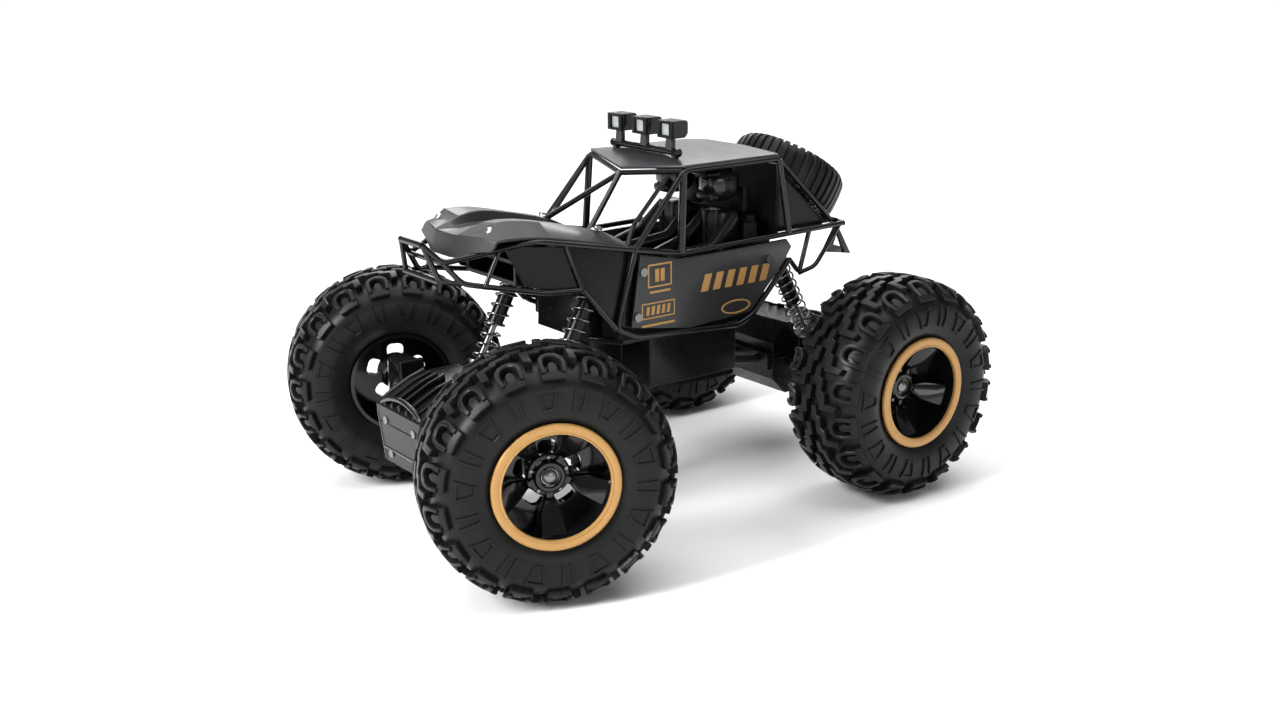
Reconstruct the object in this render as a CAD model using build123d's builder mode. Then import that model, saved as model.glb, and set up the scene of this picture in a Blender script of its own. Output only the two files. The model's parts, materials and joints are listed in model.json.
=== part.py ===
from build123d import *

import math
import os

# A four-wheel-drive rock-crawler toy. +X is the front, +Y the left side, +Z up.
# The origin is on the ground under the middle of the whole car, with the front
# wheels turned to the right. All sizes are in millimetres.

os.makedirs("parts", exist_ok=True)

# ---- driving dimensions ----
wheel_r = 50.0
front_x = 83.0
rear_x = -94.4
axle_z = wheel_r
kingpin_y = 53.5
kingpin_to_wheel = 26.0
rear_wheel_y = kingpin_y + kingpin_to_wheel
steer_deg = -21.1  # the rest position: both front wheels turned to the right
steer_each_way_deg = 28.0  # the most that the front wheels turn from straight ahead

tread_half = 14.9
tyre_half = 21.2
rim_r = 22.9
ring_in_r = 20.9
ring_out_r = 25.1
ring_offset = 18.95
shaft_r = 2.0
running_gap = 0.08

side_y = 36.0
skin = 1.6

gear_module = 0.8
axle_teeth = 36
pinion_teeth = 12
gear_distance = gear_module * (axle_teeth + pinion_teeth) / 2
gear_y = 10.0
gear_width = 5.0

shock_y = 28.8
front_shock_top = (33.0, 107.2)
front_shock_foot = (61.0, 57.0)
rear_shock_top = (-66.5, 106.5)
rear_shock_foot = (-91.5, 60.0)
shock_pin_r = 1.3
shock_foot_hole_r = 2.3
shock_pin_cap_r = 2.7
spring_seat_r = 5.2

sides = {"left": 1, "right": -1}


# ---- shared shapes, each added to the part being built ----
def side_plane(y):
    """A plane facing -Y at this y: local x is X, and local y is Z."""
    return Plane(origin=(0, y, 0), x_dir=(1, 0, 0), z_dir=(0, -1, 0))


def add_tube(start, end, radius):
    """One straight eight-sided bar, a little longer than from start to end."""
    axis = (Vector(*end) - Vector(*start)).normalized()
    base = Vector(*start) - axis * radius * 0.45
    length = (Vector(*end) - base).length + radius * 0.45
    with BuildSketch(Plane(origin=base, z_dir=axis)) as profile:
        RegularPolygon(radius, 8)
    extrude(profile.sketch, amount=length)


def add_tubes(points, radius):
    """Bars through the points, one after another."""
    for start, end in zip(points, points[1:]):
        add_tube(start, end, radius)


def add_knots(points, radius):
    """A ball at each of the points where limbs meet."""
    for point in points:
        with Locations(point):
            Sphere(radius)


def add_slab(points, y_low, y_high, mode=Mode.ADD):
    """A flat slab: the X-Z outline through the points, from y_low to y_high."""
    with BuildSketch(side_plane(y_high)) as profile:
        with BuildLine():
            Polyline(*points, close=True)
        make_face()
    extrude(profile.sketch, amount=y_high - y_low, mode=mode)


def add_plate(points, thickness):
    """A flat plate: the outline through 3-D points, pushed along a vector."""
    outline = Wire.make_polygon([Vector(*point) for point in points], close=True)
    add(Solid.extrude(Face(outline), Vector(*thickness)))


def add_cylinder(centre, axis, radius, start, end, mode=Mode.ADD):
    """A round bar about an axis, between two distances from its centre."""
    direction = Vector(*axis).normalized()
    base = Vector(*centre) + direction * start
    with BuildSketch(Plane(origin=base, z_dir=direction)) as profile:
        Circle(radius)
    extrude(profile.sketch, amount=end - start, mode=mode)


def add_box(low, high, mode=Mode.ADD):
    """A box between two corners."""
    size = [b - a for a, b in zip(low, high)]
    middle = [(a + b) / 2 for a, b in zip(low, high)]
    with Locations(Vector(*middle)):
        Box(*size, mode=mode)


def finish(part, label):
    """Label a finished part and write it as its own file."""
    part.label = label
    export_step(part, f"parts/{label}.step")


# ---- wheels ----
def wheel_centre(axle, side):
    """The centre of a tyre, and the direction that points out of the car."""
    if axle == "rear":
        return Vector(rear_x, side * rear_wheel_y, axle_z), Vector(0, side, 0)
    turn = math.radians(steer_deg)
    outward = Vector(-math.sin(turn), math.cos(turn), 0) * side
    kingpin = Vector(front_x, side * kingpin_y, axle_z)
    return kingpin + outward * kingpin_to_wheel, outward


def section_plane(centre, outward):
    """A plane through the wheel's axis: local x is the radius, y is outward."""
    up = Vector(0, 0, 1)
    return Plane(origin=centre, x_dir=up, z_dir=up.cross(outward))


def add_wheel_ring(centre, outward, outline):
    """The outline, given as radius and distance outward, turned about the axis."""
    with BuildSketch(section_plane(centre, outward)) as profile:
        with BuildLine():
            Polyline(*outline, close=True)
        make_face()
    revolve(profile.sketch, axis=Axis(centre, outward))


def add_tyre(centre, outward):
    """A hollow balloon tyre, as large as its lugs."""
    outer = [(23.0, 17.0), (25.6, 18.7), (30.0, 20.4), (37.5, tyre_half), (43.0, 20.9)]
    outer += [(46.5, 19.6), (48.8, 17.4), (wheel_r, tread_half)]
    inner = [(46.3, 12.5), (42.5, 16.4), (36.5, 17.8), (29.5, 16.8), (25.8, 15.0)]
    inner += [(23.0, 13.4)]
    mirrored = [(radius, -offset) for radius, offset in reversed(outer)]
    inner_mirrored = [(radius, -offset) for radius, offset in reversed(inner)]
    add_wheel_ring(centre, outward, outer + mirrored + inner_mirrored + inner)


def add_rim(centre, outward, bore_r):
    """A deep dish with five windows inside a barrel, and its hub boss."""
    barrel = [(21.4, -18.0), (rim_r, -18.0), (rim_r, 18.9), (21.4, 18.9)]
    add_wheel_ring(centre, outward, barrel)
    dish = [(bore_r, -7.0), (6.2, -7.0), (6.2, 0.5), (21.6, 0.5)]
    dish += [(21.6, 3.5), (6.2, 3.5), (6.2, 4.4), (bore_r, 4.4)]
    add_wheel_ring(centre, outward, dish)
    up = Vector(0, 0, 1)
    with BuildSketch(Plane(origin=centre, x_dir=up, z_dir=outward)) as windows:
        with PolarLocations(10.6, 5):
            RectangleRounded(6.2, 7.6, 2.4)
    extrude(windows.sketch, amount=8.0, mode=Mode.SUBTRACT)


def add_beadlock(centre, outward):
    """The flat ring that clamps the tyre, with both outer edges chamfered."""
    ring = [(ring_in_r, ring_offset), (ring_out_r, ring_offset)]
    ring += [(ring_out_r, ring_offset + 0.9), (ring_out_r - 0.5, ring_offset + 1.4)]
    ring += [(ring_in_r + 0.5, ring_offset + 1.4), (ring_in_r, ring_offset + 0.9)]
    add_wheel_ring(centre, outward, ring)


for side_name, side in sides.items():
    centre, outward = wheel_centre("front", side)
    with BuildPart() as tyre:
        add_tyre(centre, outward)
    finish(tyre.part, f"tyre_front_{side_name}")
    with BuildPart() as rim:
        add_rim(centre, outward, shaft_r + 0.06)
    finish(rim.part, f"rim_front_{side_name}")
    with BuildPart() as ring:
        add_beadlock(centre, outward)
    finish(ring.part, f"ring_front_{side_name}")
    # The stub axle: a cup about the kingpin, a bar to the hub, and its nut.
    with BuildPart() as stub:
        kingpin_at = -kingpin_to_wheel
        add_cylinder(centre, outward, 4.4, kingpin_at - 1.5, kingpin_at + 5.0)
        add_cylinder(centre, outward, shaft_r, kingpin_at + 5.0, 6.4)
        add_cylinder(centre, outward, 3.2, 4.6, 7.0)
        add_cylinder(centre, outward, 3.3, kingpin_at - 1.5, kingpin_at + 3.4, Mode.SUBTRACT)
    finish(stub.part, f"stub_axle_{side_name}")

rear_wheels = [wheel_centre("rear", side) for side in sides.values()]
with BuildPart() as rear_tyres:
    for centre, outward in rear_wheels:
        add_tyre(centre, outward)
finish(rear_tyres.part, "rear_tyres")
with BuildPart() as rear_rims:
    for centre, outward in rear_wheels:
        add_rim(centre, outward, shaft_r + 0.06)
finish(rear_rims.part, "rear_rims")
with BuildPart() as rear_rings:
    for centre, outward in rear_wheels:
        add_beadlock(centre, outward)
finish(rear_rings.part, "rear_rings")


# ---- gears and shafts ----
def add_gear(x, y, z, teeth, phase_deg):
    """A spur gear across the car: a disc with straight-sided teeth."""
    pitch_r = gear_module * teeth / 2
    root_r, tip_r = pitch_r - 1.0, pitch_r + 0.7
    pitch = 2 * math.pi / teeth
    with BuildSketch(side_plane(y + gear_width / 2)) as profile:
        with Locations((x, z)):
            Circle(root_r)
        for tooth in range(teeth):
            middle = math.radians(phase_deg) + tooth * pitch
            corners = []
            for radius, share in ((root_r - 0.3, -0.30), (pitch_r, -0.21), (tip_r, -0.10),
                                  (tip_r, 0.10), (pitch_r, 0.21), (root_r - 0.3, 0.30)):
                angle = middle + share * pitch
                corners.append((x + radius * math.cos(angle), z + radius * math.sin(angle)))
            with BuildLine():
                Polyline(*corners, close=True)
            make_face()
    extrude(profile.sketch, amount=gear_width)


def axle_direction(axle):
    """The way an axle's gearbox nose points: forward in front, backward behind."""
    return 1 if axle == "front" else -1


axle_x = {"front": front_x, "rear": rear_x}

for axle in ("front", "rear"):
    x = axle_x[axle]
    nose = axle_direction(axle)
    # The tooth that faces the pinion meets a gap between two pinion teeth.
    with BuildPart() as shaft:
        add_gear(x, gear_y, axle_z, axle_teeth, 0 if nose > 0 else 180)
        if axle == "front":
            add_cylinder((x, 0, axle_z), (0, 1, 0), shaft_r, -47, 47)
            add_cylinder((x, 0, axle_z), (0, 1, 0), 1.6, -kingpin_y, kingpin_y)
            with Locations((x, kingpin_y, axle_z), (x, -kingpin_y, axle_z)):
                Sphere(2.7)
        else:
            outer_end = rear_wheel_y + 6.4
            add_cylinder((x, 0, axle_z), (0, 1, 0), shaft_r, -outer_end, outer_end)
            for side in sides.values():
                add_cylinder((x, side * rear_wheel_y, axle_z), (0, side, 0), 3.2, 4.6, 7.0)
    finish(shaft.part, f"{axle}_drive_shaft")

    motor_x = x + nose * gear_distance
    with BuildPart() as motor:
        add_cylinder((motor_x, 0, axle_z), (0, 1, 0), 7.3, -15.5, 4.0)
        add_cylinder((motor_x, 0, axle_z), (0, 1, 0), 3.0, -16.4, 5.2)
        add_cylinder((motor_x, 0, axle_z), (0, 1, 0), 1.1, -17, 6, Mode.SUBTRACT)
    finish(motor.part, f"{axle}_motor")
    with BuildPart() as pinion:
        facing = 180 if nose > 0 else 0
        add_gear(motor_x, gear_y, axle_z, pinion_teeth, facing + 180 / pinion_teeth)
        add_cylinder((motor_x, 0, axle_z), (0, 1, 0), 1.0, -15, 13.5)
    finish(pinion.part, f"{axle}_pinion")


# ---- axle housings: two half shells about the gears, with tubes and brackets ----
housing_half = 19.0
housing_outline = [(-17.6, -9.0), (-9.0, -17.6), (9.0, -17.6), (18.0, -18.8), (28.0, -18.5),
                   (31.3, 7.6), (27.0, 10.0), (17.0, 15.0), (9.0, 17.6), (-9.0, 17.6), (-17.6, 9.0)]
cavity_outline = [(-16.0, -8.3), (-8.3, -16.0), (9.3, -16.0), (18.0, -17.2), (26.4, -17.0),
                  (29.4, 6.8), (26.0, 8.6), (16.5, 13.3), (8.5, 16.0), (-8.3, 16.0), (-16.0, 8.3)]
tube_outer_r = 6.5


def around_axle(outline, x, nose):
    """Points about the axle's centre, turned the way the nose points."""
    return [(x + nose * dx, axle_z + dz) for dx, dz in outline]


def add_housing(axle):
    """The whole housing of one axle, before it is split at the shaft's height."""
    x = axle_x[axle]
    nose = axle_direction(axle)
    tube_end = 46.0 if axle == "front" else rear_wheel_y - tyre_half - 1.5
    add_slab(around_axle(housing_outline, x, nose), -housing_half, housing_half)
    add_cylinder((x, 0, axle_z), (0, 1, 0), tube_outer_r, -tube_end, tube_end)
    foot_x, foot_z = front_shock_foot if axle == "front" else rear_shock_foot
    for side in sides.values():
        # The bracket that holds the shock's foot by a pin.
        inner = side * (shock_y - 4.4)
        outer = side * (shock_y - 7.4)
        low, high = min(inner, outer), max(inner, outer)
        reach = [(x + nose * 3, axle_z - 5), (x + nose * 3, axle_z + 5)]
        reach += [(foot_x, foot_z + 3.4), (foot_x - nose * 2.8, foot_z + 1.5), (foot_x - nose * 2.8, foot_z - 3)]
        reach += [(x - nose * 5, axle_z - 5)]
        add_slab(reach, low, high)
        add_cylinder((foot_x, side * shock_y, foot_z), (0, side, 0), shock_pin_r, -5.0, 4.4)
        add_cylinder((foot_x, side * shock_y, foot_z), (0, side, 0), shock_pin_cap_r, 4.1, 5.0)
        if axle == "front":
            # The yoke that carries the kingpins, above and below.
            root, web = sorted((side * 43.5, side * 46.5))
            add_box((x - 6, root, axle_z - 15), (x + 6, web, axle_z + 15))
            root, tip = sorted((side * 45.0, side * 57.5))
            for low_z in (axle_z - 15, axle_z + 12):
                add_box((x - 4, root, low_z), (x + 4, tip, low_z + 3))


def cut_housing(axle):
    """The hollow of one axle's housing: gear space, shaft bores and kingpin bores."""
    x = axle_x[axle]
    nose = axle_direction(axle)
    tube_end = 46.0 if axle == "front" else rear_wheel_y - tyre_half - 1.5
    inside = around_axle(cavity_outline, x, nose)
    add_slab(inside, -housing_half + skin, housing_half - skin, Mode.SUBTRACT)
    saddle = [(9.0, -16.5), (26.8, -17.2), (29.8, 6.9), (26.2, 8.9), (16.8, 13.5), (9.0, 16.2)]
    for low_y in (-12.0, -3.0):
        add_slab(around_axle(saddle, x, nose), low_y, low_y + 2.0)
    motor_x = x + nose * gear_distance
    add_cylinder((motor_x, 0, axle_z), (0, 1, 0), 7.34, -13, 0, Mode.SUBTRACT)
    add_cylinder((x, 0, axle_z), (0, 1, 0), shaft_r + running_gap, -60, 60, Mode.SUBTRACT)
    add_cylinder((x, 0, axle_z), (0, 1, 0), 3.0, 5 - tube_end, tube_end - 5, Mode.SUBTRACT)
    if axle == "front":
        for side in sides.values():
            add_cylinder((x, side * kingpin_y, axle_z), (0, 0, 1), 1.5 + running_gap, -16, 16, Mode.SUBTRACT)


for axle in ("front", "rear"):
    for half, keep in (("lower", Keep.BOTTOM), ("upper", Keep.TOP)):
        with BuildPart() as housing:
            add_housing(axle)
            cut_housing(axle)
            split(bisect_by=Plane.XY.offset(axle_z), keep=keep)
        finish(housing.part, f"{axle}_axle_{half}")

# The A-shaped arm that ties each axle to a ball socket under the body.
arm_ball_x = {"front": 12.0, "rear": -54.0}
for axle in ("front", "rear"):
    x = axle_x[axle]
    nose = axle_direction(axle)
    with BuildPart() as radius_arm:
        ball = (arm_ball_x[axle], 0, axle_z)
        for side in sides.values():
            add_tube(ball, (x - nose * 19.6, side * 12, axle_z), 2.0)
        back, face = sorted((x - nose * 17.7, x - nose * 21.0))
        add_box((back, -19, axle_z - 4), (face, 19, axle_z + 4))
        with Locations(ball):
            Sphere(3.4)
    finish(radius_arm.part, f"{axle}_radius_arm")

# ---- steering ----
arm_length = 21.0
tie_pin_r = 1.2
tie_pin_play = 0.45
tie_rod_z = 41.4
for side_name, side in sides.items():
    centre, outward = wheel_centre("front", side)
    forward = Vector(0, 0, 1).cross(outward) * -side
    kingpin = centre - outward * kingpin_to_wheel
    with BuildPart() as knuckle:
        block = Plane(origin=kingpin + outward * 6.6, x_dir=forward, z_dir=outward)
        with BuildSketch(block):
            RectangleRounded(11, 25, 3)
        extrude(amount=5.4)
        for low_z in (axle_z - 11.6, axle_z + 8.6):
            with BuildSketch(Plane(origin=(kingpin.X, kingpin.Y, low_z), x_dir=outward, z_dir=(0, 0, 1))):
                Circle(3.2)
                with Locations((4.0, 0)):
                    Rectangle(8.0, 6.4)
            extrude(amount=3.0)
        add_cylinder(kingpin, (0, 0, 1), 1.5, -15.6, -8.7)
        add_cylinder(kingpin, (0, 0, 1), 1.5, 8.7, 15.6)
        arm_plane = Plane(origin=(kingpin.X, kingpin.Y, axle_z - 11.6), x_dir=forward, z_dir=(0, 0, 1))
        with BuildSketch(arm_plane):
            with BuildLine():
                near, far = side * 8.0, side * 2.0
                Polyline((-3, near), (-3, far), (-arm_length, -side * 2.4), (-arm_length - 2.4, 0),
                         (-arm_length, side * 2.4), (-8, near), close=True)
            make_face()
        extrude(amount=2.6)
        tie_pin = kingpin - forward * arm_length
        add_cylinder((tie_pin.X, tie_pin.Y, tie_rod_z), (0, 0, 1), tie_pin_r, -1.0, 4.2)
        add_cylinder(kingpin, outward, shaft_r + running_gap, 5.0, 13.0, Mode.SUBTRACT)
    finish(knuckle.part, f"knuckle_{side_name}")

# The tie rod: its end slots let the arms' pins swing through their arcs.
pin_across = -arm_length * math.sin(math.radians(steer_deg))
pin_nearest = arm_length * math.cos(math.radians(steer_each_way_deg))
slot_middle_x = front_x - (arm_length + pin_nearest) / 2
slot_length = arm_length - pin_nearest + 2 * (tie_pin_r + tie_pin_play)
with BuildPart() as tie_rod:
    ends = [(slot_middle_x, side * kingpin_y + pin_across) for side in sides.values()]
    rod_plane = Plane.XY.offset(tie_rod_z)
    with BuildSketch(rod_plane):
        with Locations(*ends):
            RectangleRounded(slot_length + 2.9, 7.4, 1.2)
    extrude(amount=2.6)
    bar_low = (slot_middle_x - 1.5, -kingpin_y + pin_across + 2, tie_rod_z)
    bar_high = (slot_middle_x + 1.5, kingpin_y + pin_across - 2, tie_rod_z + 2.6)
    add_box(bar_low, bar_high)
    with BuildSketch(rod_plane):
        with Locations(*ends):
            SlotOverall(slot_length, 3.4)
    extrude(amount=2.6, mode=Mode.SUBTRACT)
finish(tie_rod.part, "tie_rod")


# ---- shocks ----
def shock_line(axle):
    """The top point, and the unit direction down to the foot, in X and Z."""
    top = front_shock_top if axle == "front" else rear_shock_top
    foot = front_shock_foot if axle == "front" else rear_shock_foot
    length = math.dist(top, foot)
    return top, ((foot[0] - top[0]) / length, (foot[1] - top[1]) / length), length


spring_r = 4.6
spring_wire_r = 0.45
for axle in ("front", "rear"):
    top, down, length = shock_line(axle)
    for side_name, side in sides.items():
        origin = Vector(top[0], side * shock_y, top[1])
        direction = Vector(down[0], 0, down[1])
        body_end = length * 0.55
        seat_top, seat_foot = 6.0, length - 7.0
        with BuildPart() as shock_body:
            add_cylinder(origin, direction, 3.5, 2.0, body_end)
            add_cylinder(origin, direction, spring_seat_r, seat_top - 1.4, seat_top)
            add_cylinder(origin, (0, 1, 0), 3.2, -2.2, 2.2)
            add_cylinder(origin, (0, 1, 0), 1.5 + running_gap, -3, 3, Mode.SUBTRACT)
            add_cylinder(origin, direction, 1.5 + running_gap, 6.0, body_end + 1, Mode.SUBTRACT)
        finish(shock_body.part, f"shock_body_{axle}_{side_name}")
        with BuildPart() as shock_rod:
            add_cylinder(origin, direction, 1.5, length * 0.36, length - 2.4)
            add_cylinder(origin, direction, spring_seat_r, seat_foot, seat_foot + 1.4)
            add_cylinder(origin + direction * length, (0, 1, 0), 3.6, -2.2, 2.2)
            add_cylinder(origin + direction * length, (0, 1, 0), shock_foot_hole_r, -3, 3, Mode.SUBTRACT)
        finish(shock_rod.part, f"shock_rod_{axle}_{side_name}")
        turns = 9
        coil_height = seat_foot - seat_top - 2 * spring_wire_r - 0.2
        with BuildPart() as spring:
            coil_start = origin + direction * (seat_top + spring_wire_r + 0.1)
            with BuildLine():
                coil = Helix(coil_height / turns, coil_height, spring_r, center=coil_start, direction=direction)
            with BuildSketch(Plane(origin=coil @ 0, z_dir=coil % 0)):
                Circle(spring_wire_r)
            sweep(path=coil, is_frenet=True)
        finish(spring.part, f"spring_{axle}_{side_name}")

# ---- lower hull with the batteries, their door, the switch and the circuit ----
hull_back, hull_front = -45.5, 4.0
hull_half = 28.0
hull_low, hull_top = 54.0, 78.0
deck_top = hull_top + 2.4
wall = 2.0
door_hinge = (1.0, hull_low - 2.3)
switch_x, switch_z = -28.4, 66.5

with BuildPart() as chassis_tub:
    add_box((hull_back, -hull_half, hull_low), (hull_front, hull_half, hull_top))
    with BuildSketch(Plane.XY.offset(hull_top)):
        with BuildLine():
            deck = [(-52, -33), (22, -33), (31, -20), (31, 20), (22, 33), (-52, 33)]
            Polyline(*deck, close=True)
        make_face()
    extrude(amount=deck_top - hull_top)
    inside = (hull_front - wall, hull_half - wall, hull_top)
    add_box((hull_back + wall, wall - hull_half, hull_low - 1), inside, Mode.SUBTRACT)
    slot_half = 5.6
    low = (switch_x - 3.6, -hull_half - 1, switch_z - 2.5)
    add_box(low, (switch_x + 2 * slot_half - 3.6, 1 + wall - hull_half, switch_z + 2.5), Mode.SUBTRACT)
    # The brackets of the two ball sockets, in front of the hull and behind it.
    for ball_x, facing, root in ((12.0, 1, hull_front), (-54.0, -1, hull_back)):
        bracket = [(root, 79), (root, 57), (ball_x - facing * 2, 54)]
        bracket += [(ball_x + facing * 3, 54), (ball_x + facing * 8, 60), (ball_x + facing * 10, 79)]
        add_slab(bracket, -7, 7)
        with Locations((ball_x, 0, axle_z)):
            Sphere(5.6)
            Sphere(3.4 + running_gap, mode=Mode.SUBTRACT)
        near, far = sorted((ball_x + facing * 0.9, ball_x + facing * 12))
        add_box((near, -9, axle_z - 6), (far, 9, axle_z + 6), Mode.SUBTRACT)
    # The door's hinge eyes and pin, and the posts that carry the circuit board.
    for low_y in (-21.0, 14.0):
        add_cylinder((door_hinge[0], low_y, door_hinge[1]), (0, 1, 0), 2.1, 0, 7)
        low = (door_hinge[0] - 1.5, low_y, door_hinge[1])
        add_box(low, (door_hinge[0] + 1.5, low_y + 7, hull_low + 0.5))
    add_cylinder((door_hinge[0], 0, door_hinge[1]), (0, 1, 0), 0.9, -20, 20)
    with Locations((-38, -19, 75.5), (-38, 19, 75.5), (-4, -19, 75.5), (-4, 19, 75.5)):
        Cylinder(1.6, 5.0)
finish(chassis_tub.part, "chassis_tub")

with BuildPart() as battery_door:
    add_box((hull_back + 0.6, -27, hull_low - 2.4), (-1.8, 27, hull_low - 0.4))
    for low_x in (-38, -31, -24, -17):
        add_box((low_x, -18, hull_low - 3.0), (low_x + 2.4, 18, hull_low - 2.2))
    add_cylinder((door_hinge[0], 0, door_hinge[1]), (0, 1, 0), 2.1, -13.6, 13.6)
    add_box((-3.0, -13.6, hull_low - 3.2), (door_hinge[0], 13.6, hull_low - 1.6))
    hole_r = 0.9 + running_gap
    add_cylinder((door_hinge[0], 0, door_hinge[1]), (0, 1, 0), hole_r, -15, 15, Mode.SUBTRACT)
finish(battery_door.part, "battery_door")

with BuildPart() as battery_cells:
    for cell_x in (-35.6, -21.0, -6.4):
        add_cylinder((cell_x, 0, 62.5), (0, 1, 0), 7.0, -22.0, 23.6)
        add_cylinder((cell_x, 0, 62.5), (0, 1, 0), 2.6, 23.6, hull_half - wall)
finish(battery_cells.part, "battery_cells")

with BuildPart() as circuit_board:
    add_box((-41, -22, 71.6), (-1, 22, 73.0))
    for low, high in (((-26, -9), (-14, 3)), ((-10, 6), (-4, 14)), ((-35, -14), (-30, -4))):
        add_box((*low, 73.0), (*high, 75.4))
    with Locations((-32, 10, 75.0), (-24, 12, 75.0)):
        Cylinder(2.6, 4.0)
finish(circuit_board.part, "circuit_board")

with BuildPart() as switch_knob:
    y = -hull_half
    add_box((switch_x - 3.2, y - 2.2, switch_z - 2.1), (switch_x + 3.2, y + 3.0, switch_z + 2.1))
    add_box((switch_x - 5.2, y + 2.3, switch_z - 3.6), (switch_x + 5.2, y + 3.6, switch_z + 3.6))
finish(switch_knob.part, "switch_knob")

# ---- cockpit with moulded seats, and the bulkhead behind it ----
seat_y = 16.0
with BuildPart() as cockpit_tub:
    add_box((-57, -31, deck_top), (24, 31, deck_top + 1.6))
    add_box((-68, -18, deck_top), (-57, 18, deck_top + 1.6))
    for side in sides.values():
        low_y, high_y = sorted((side * 31.0, side * 32.6))
        side_wall = [(-57, 88), (-53, deck_top), (24, deck_top), (24, 99.4), (8, 104), (-57, 104)]
        add_slab(side_wall, low_y, high_y)
        low_y, high_y = sorted((side * (seat_y - 10), side * (seat_y + 10)))
        seat = [(-57, 82), (-26, 82), (-24, 92), (-50, 89), (-54, 124), (-58, 124), (-57, 100)]
        add_slab(seat, low_y, high_y)
    add_box((22, -32, deck_top), (24, 32, 99.4))
    add_box((-2, -5, 82), (22, 5, 90))
    add_box((-68, -22, deck_top), (-66.2, 22, 113))
    add_box((-68, -31, 113), (-66.2, 31, 147))
    for side in sides.values():
        low_y, high_y = sorted((side * 16.0, side * 23.2))
        add_box((-70, low_y, 102), (-63, high_y, 111))
        hanger = (rear_shock_top[0], 0, rear_shock_top[1])
        add_cylinder(hanger, (0, side, 0), 1.5, 22, shock_y + 4.3)
        add_cylinder(hanger, (0, side, 0), 2.6, shock_y + 3.9, shock_y + 4.7)
finish(cockpit_tub.part, "cockpit_tub")

# ---- engine bay under the hood, with the dashboard and the steering wheel ----
with BuildPart() as engine_bay:
    bay = [(24, deck_top), (31, deck_top), (31, 97), (44, 104.5), (67, 108), (67, 119)]
    bay += [(44, 113.2), (36.5, 112.6), (24, 107)]
    add_slab(bay, -20, 20)
    bay_inside = [(44, 106.6), (70, 110.5), (70, 117.4), (44, 111.2), (37, 110.4), (30, 105), (30, 99)]
    add_slab(bay_inside, -18, 18, Mode.SUBTRACT)
    add_slab([(11, 104), (24, 100), (24, 112.5), (14, 113.5)], -29, 29)
    for side in sides.values():
        hanger = (front_shock_top[0], 0, front_shock_top[1])
        add_cylinder(hanger, (0, side, 0), 3.4, 19, 24.2)
        add_cylinder(hanger, (0, side, 0), 1.5, 20, shock_y + 4.3)
        add_cylinder(hanger, (0, side, 0), 2.6, shock_y + 3.9, shock_y + 4.7)
    add_cylinder((13, 16, 107), (-1, 0, 0.35), 1.1, -2, 8)
    add_cylinder((13, 16, 107), (-1, 0, 0.35), 7.0, 7.0, 9.0)
    add_cylinder((13, 16, 107), (-1, 0, 0.35), 5.4, 8.0, 12.0, Mode.SUBTRACT)
finish(engine_bay.part, "engine_bay")


# ---- tube frames ----
with BuildPart() as front_frame:
    add_tube((103.5, -8.9, 128.3), (103.5, 8.9, 128.3), 1.45)
    add_tube((99.3, -14.2, 113.6), (99.3, 14.2, 113.6), 1.45)
    add_tube((97.4, -14.0, 121.0), (97.4, 14.0, 121.0), 1.05)
    for side in sides.values():
        top = (103.5, side * 8.9, 128.3)
        middle = (97.4, side * 14.0, 121.0)
        bottom = (99.3, side * 14.2, 113.6)
        heel = (91.3, side * 18.0, 112.4)
        upper_rail = [(77, side * 24.5, 125.5), (70, side * 28.2, 127.2), (62.5, side * 31.0, 128.0)]
        lower_rail = [(84, side * 24, 111.2), (58, side * 30, 105.8), (44.9, side * 36.6, 106.4)]
        rail_end = (26.5, side * 35.0, 117.0)
        add_tubes([top, middle, *upper_rail, rail_end], 1.2)
        add_tubes([middle, heel, *lower_rail], 1.17)
        add_tubes([top, bottom, heel], 1.14)
        add_tube(upper_rail[0], lower_rail[0], 1.0)
        add_tube((50, side * 32.3, 124.4), lower_rail[2], 0.97)
        add_tube(lower_rail[1], (58, side * 19.4, 107.2), 1.03)
        side_skid = [(58, 104.6), (84, 109.8), (84, 110.8), (58, 106.2)]
        add_slab(side_skid, *sorted((side * 20.5, side * 23)))
    add(engine_bay.part, mode=Mode.SUBTRACT)
finish(front_frame.part, "front_frame")

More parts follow.
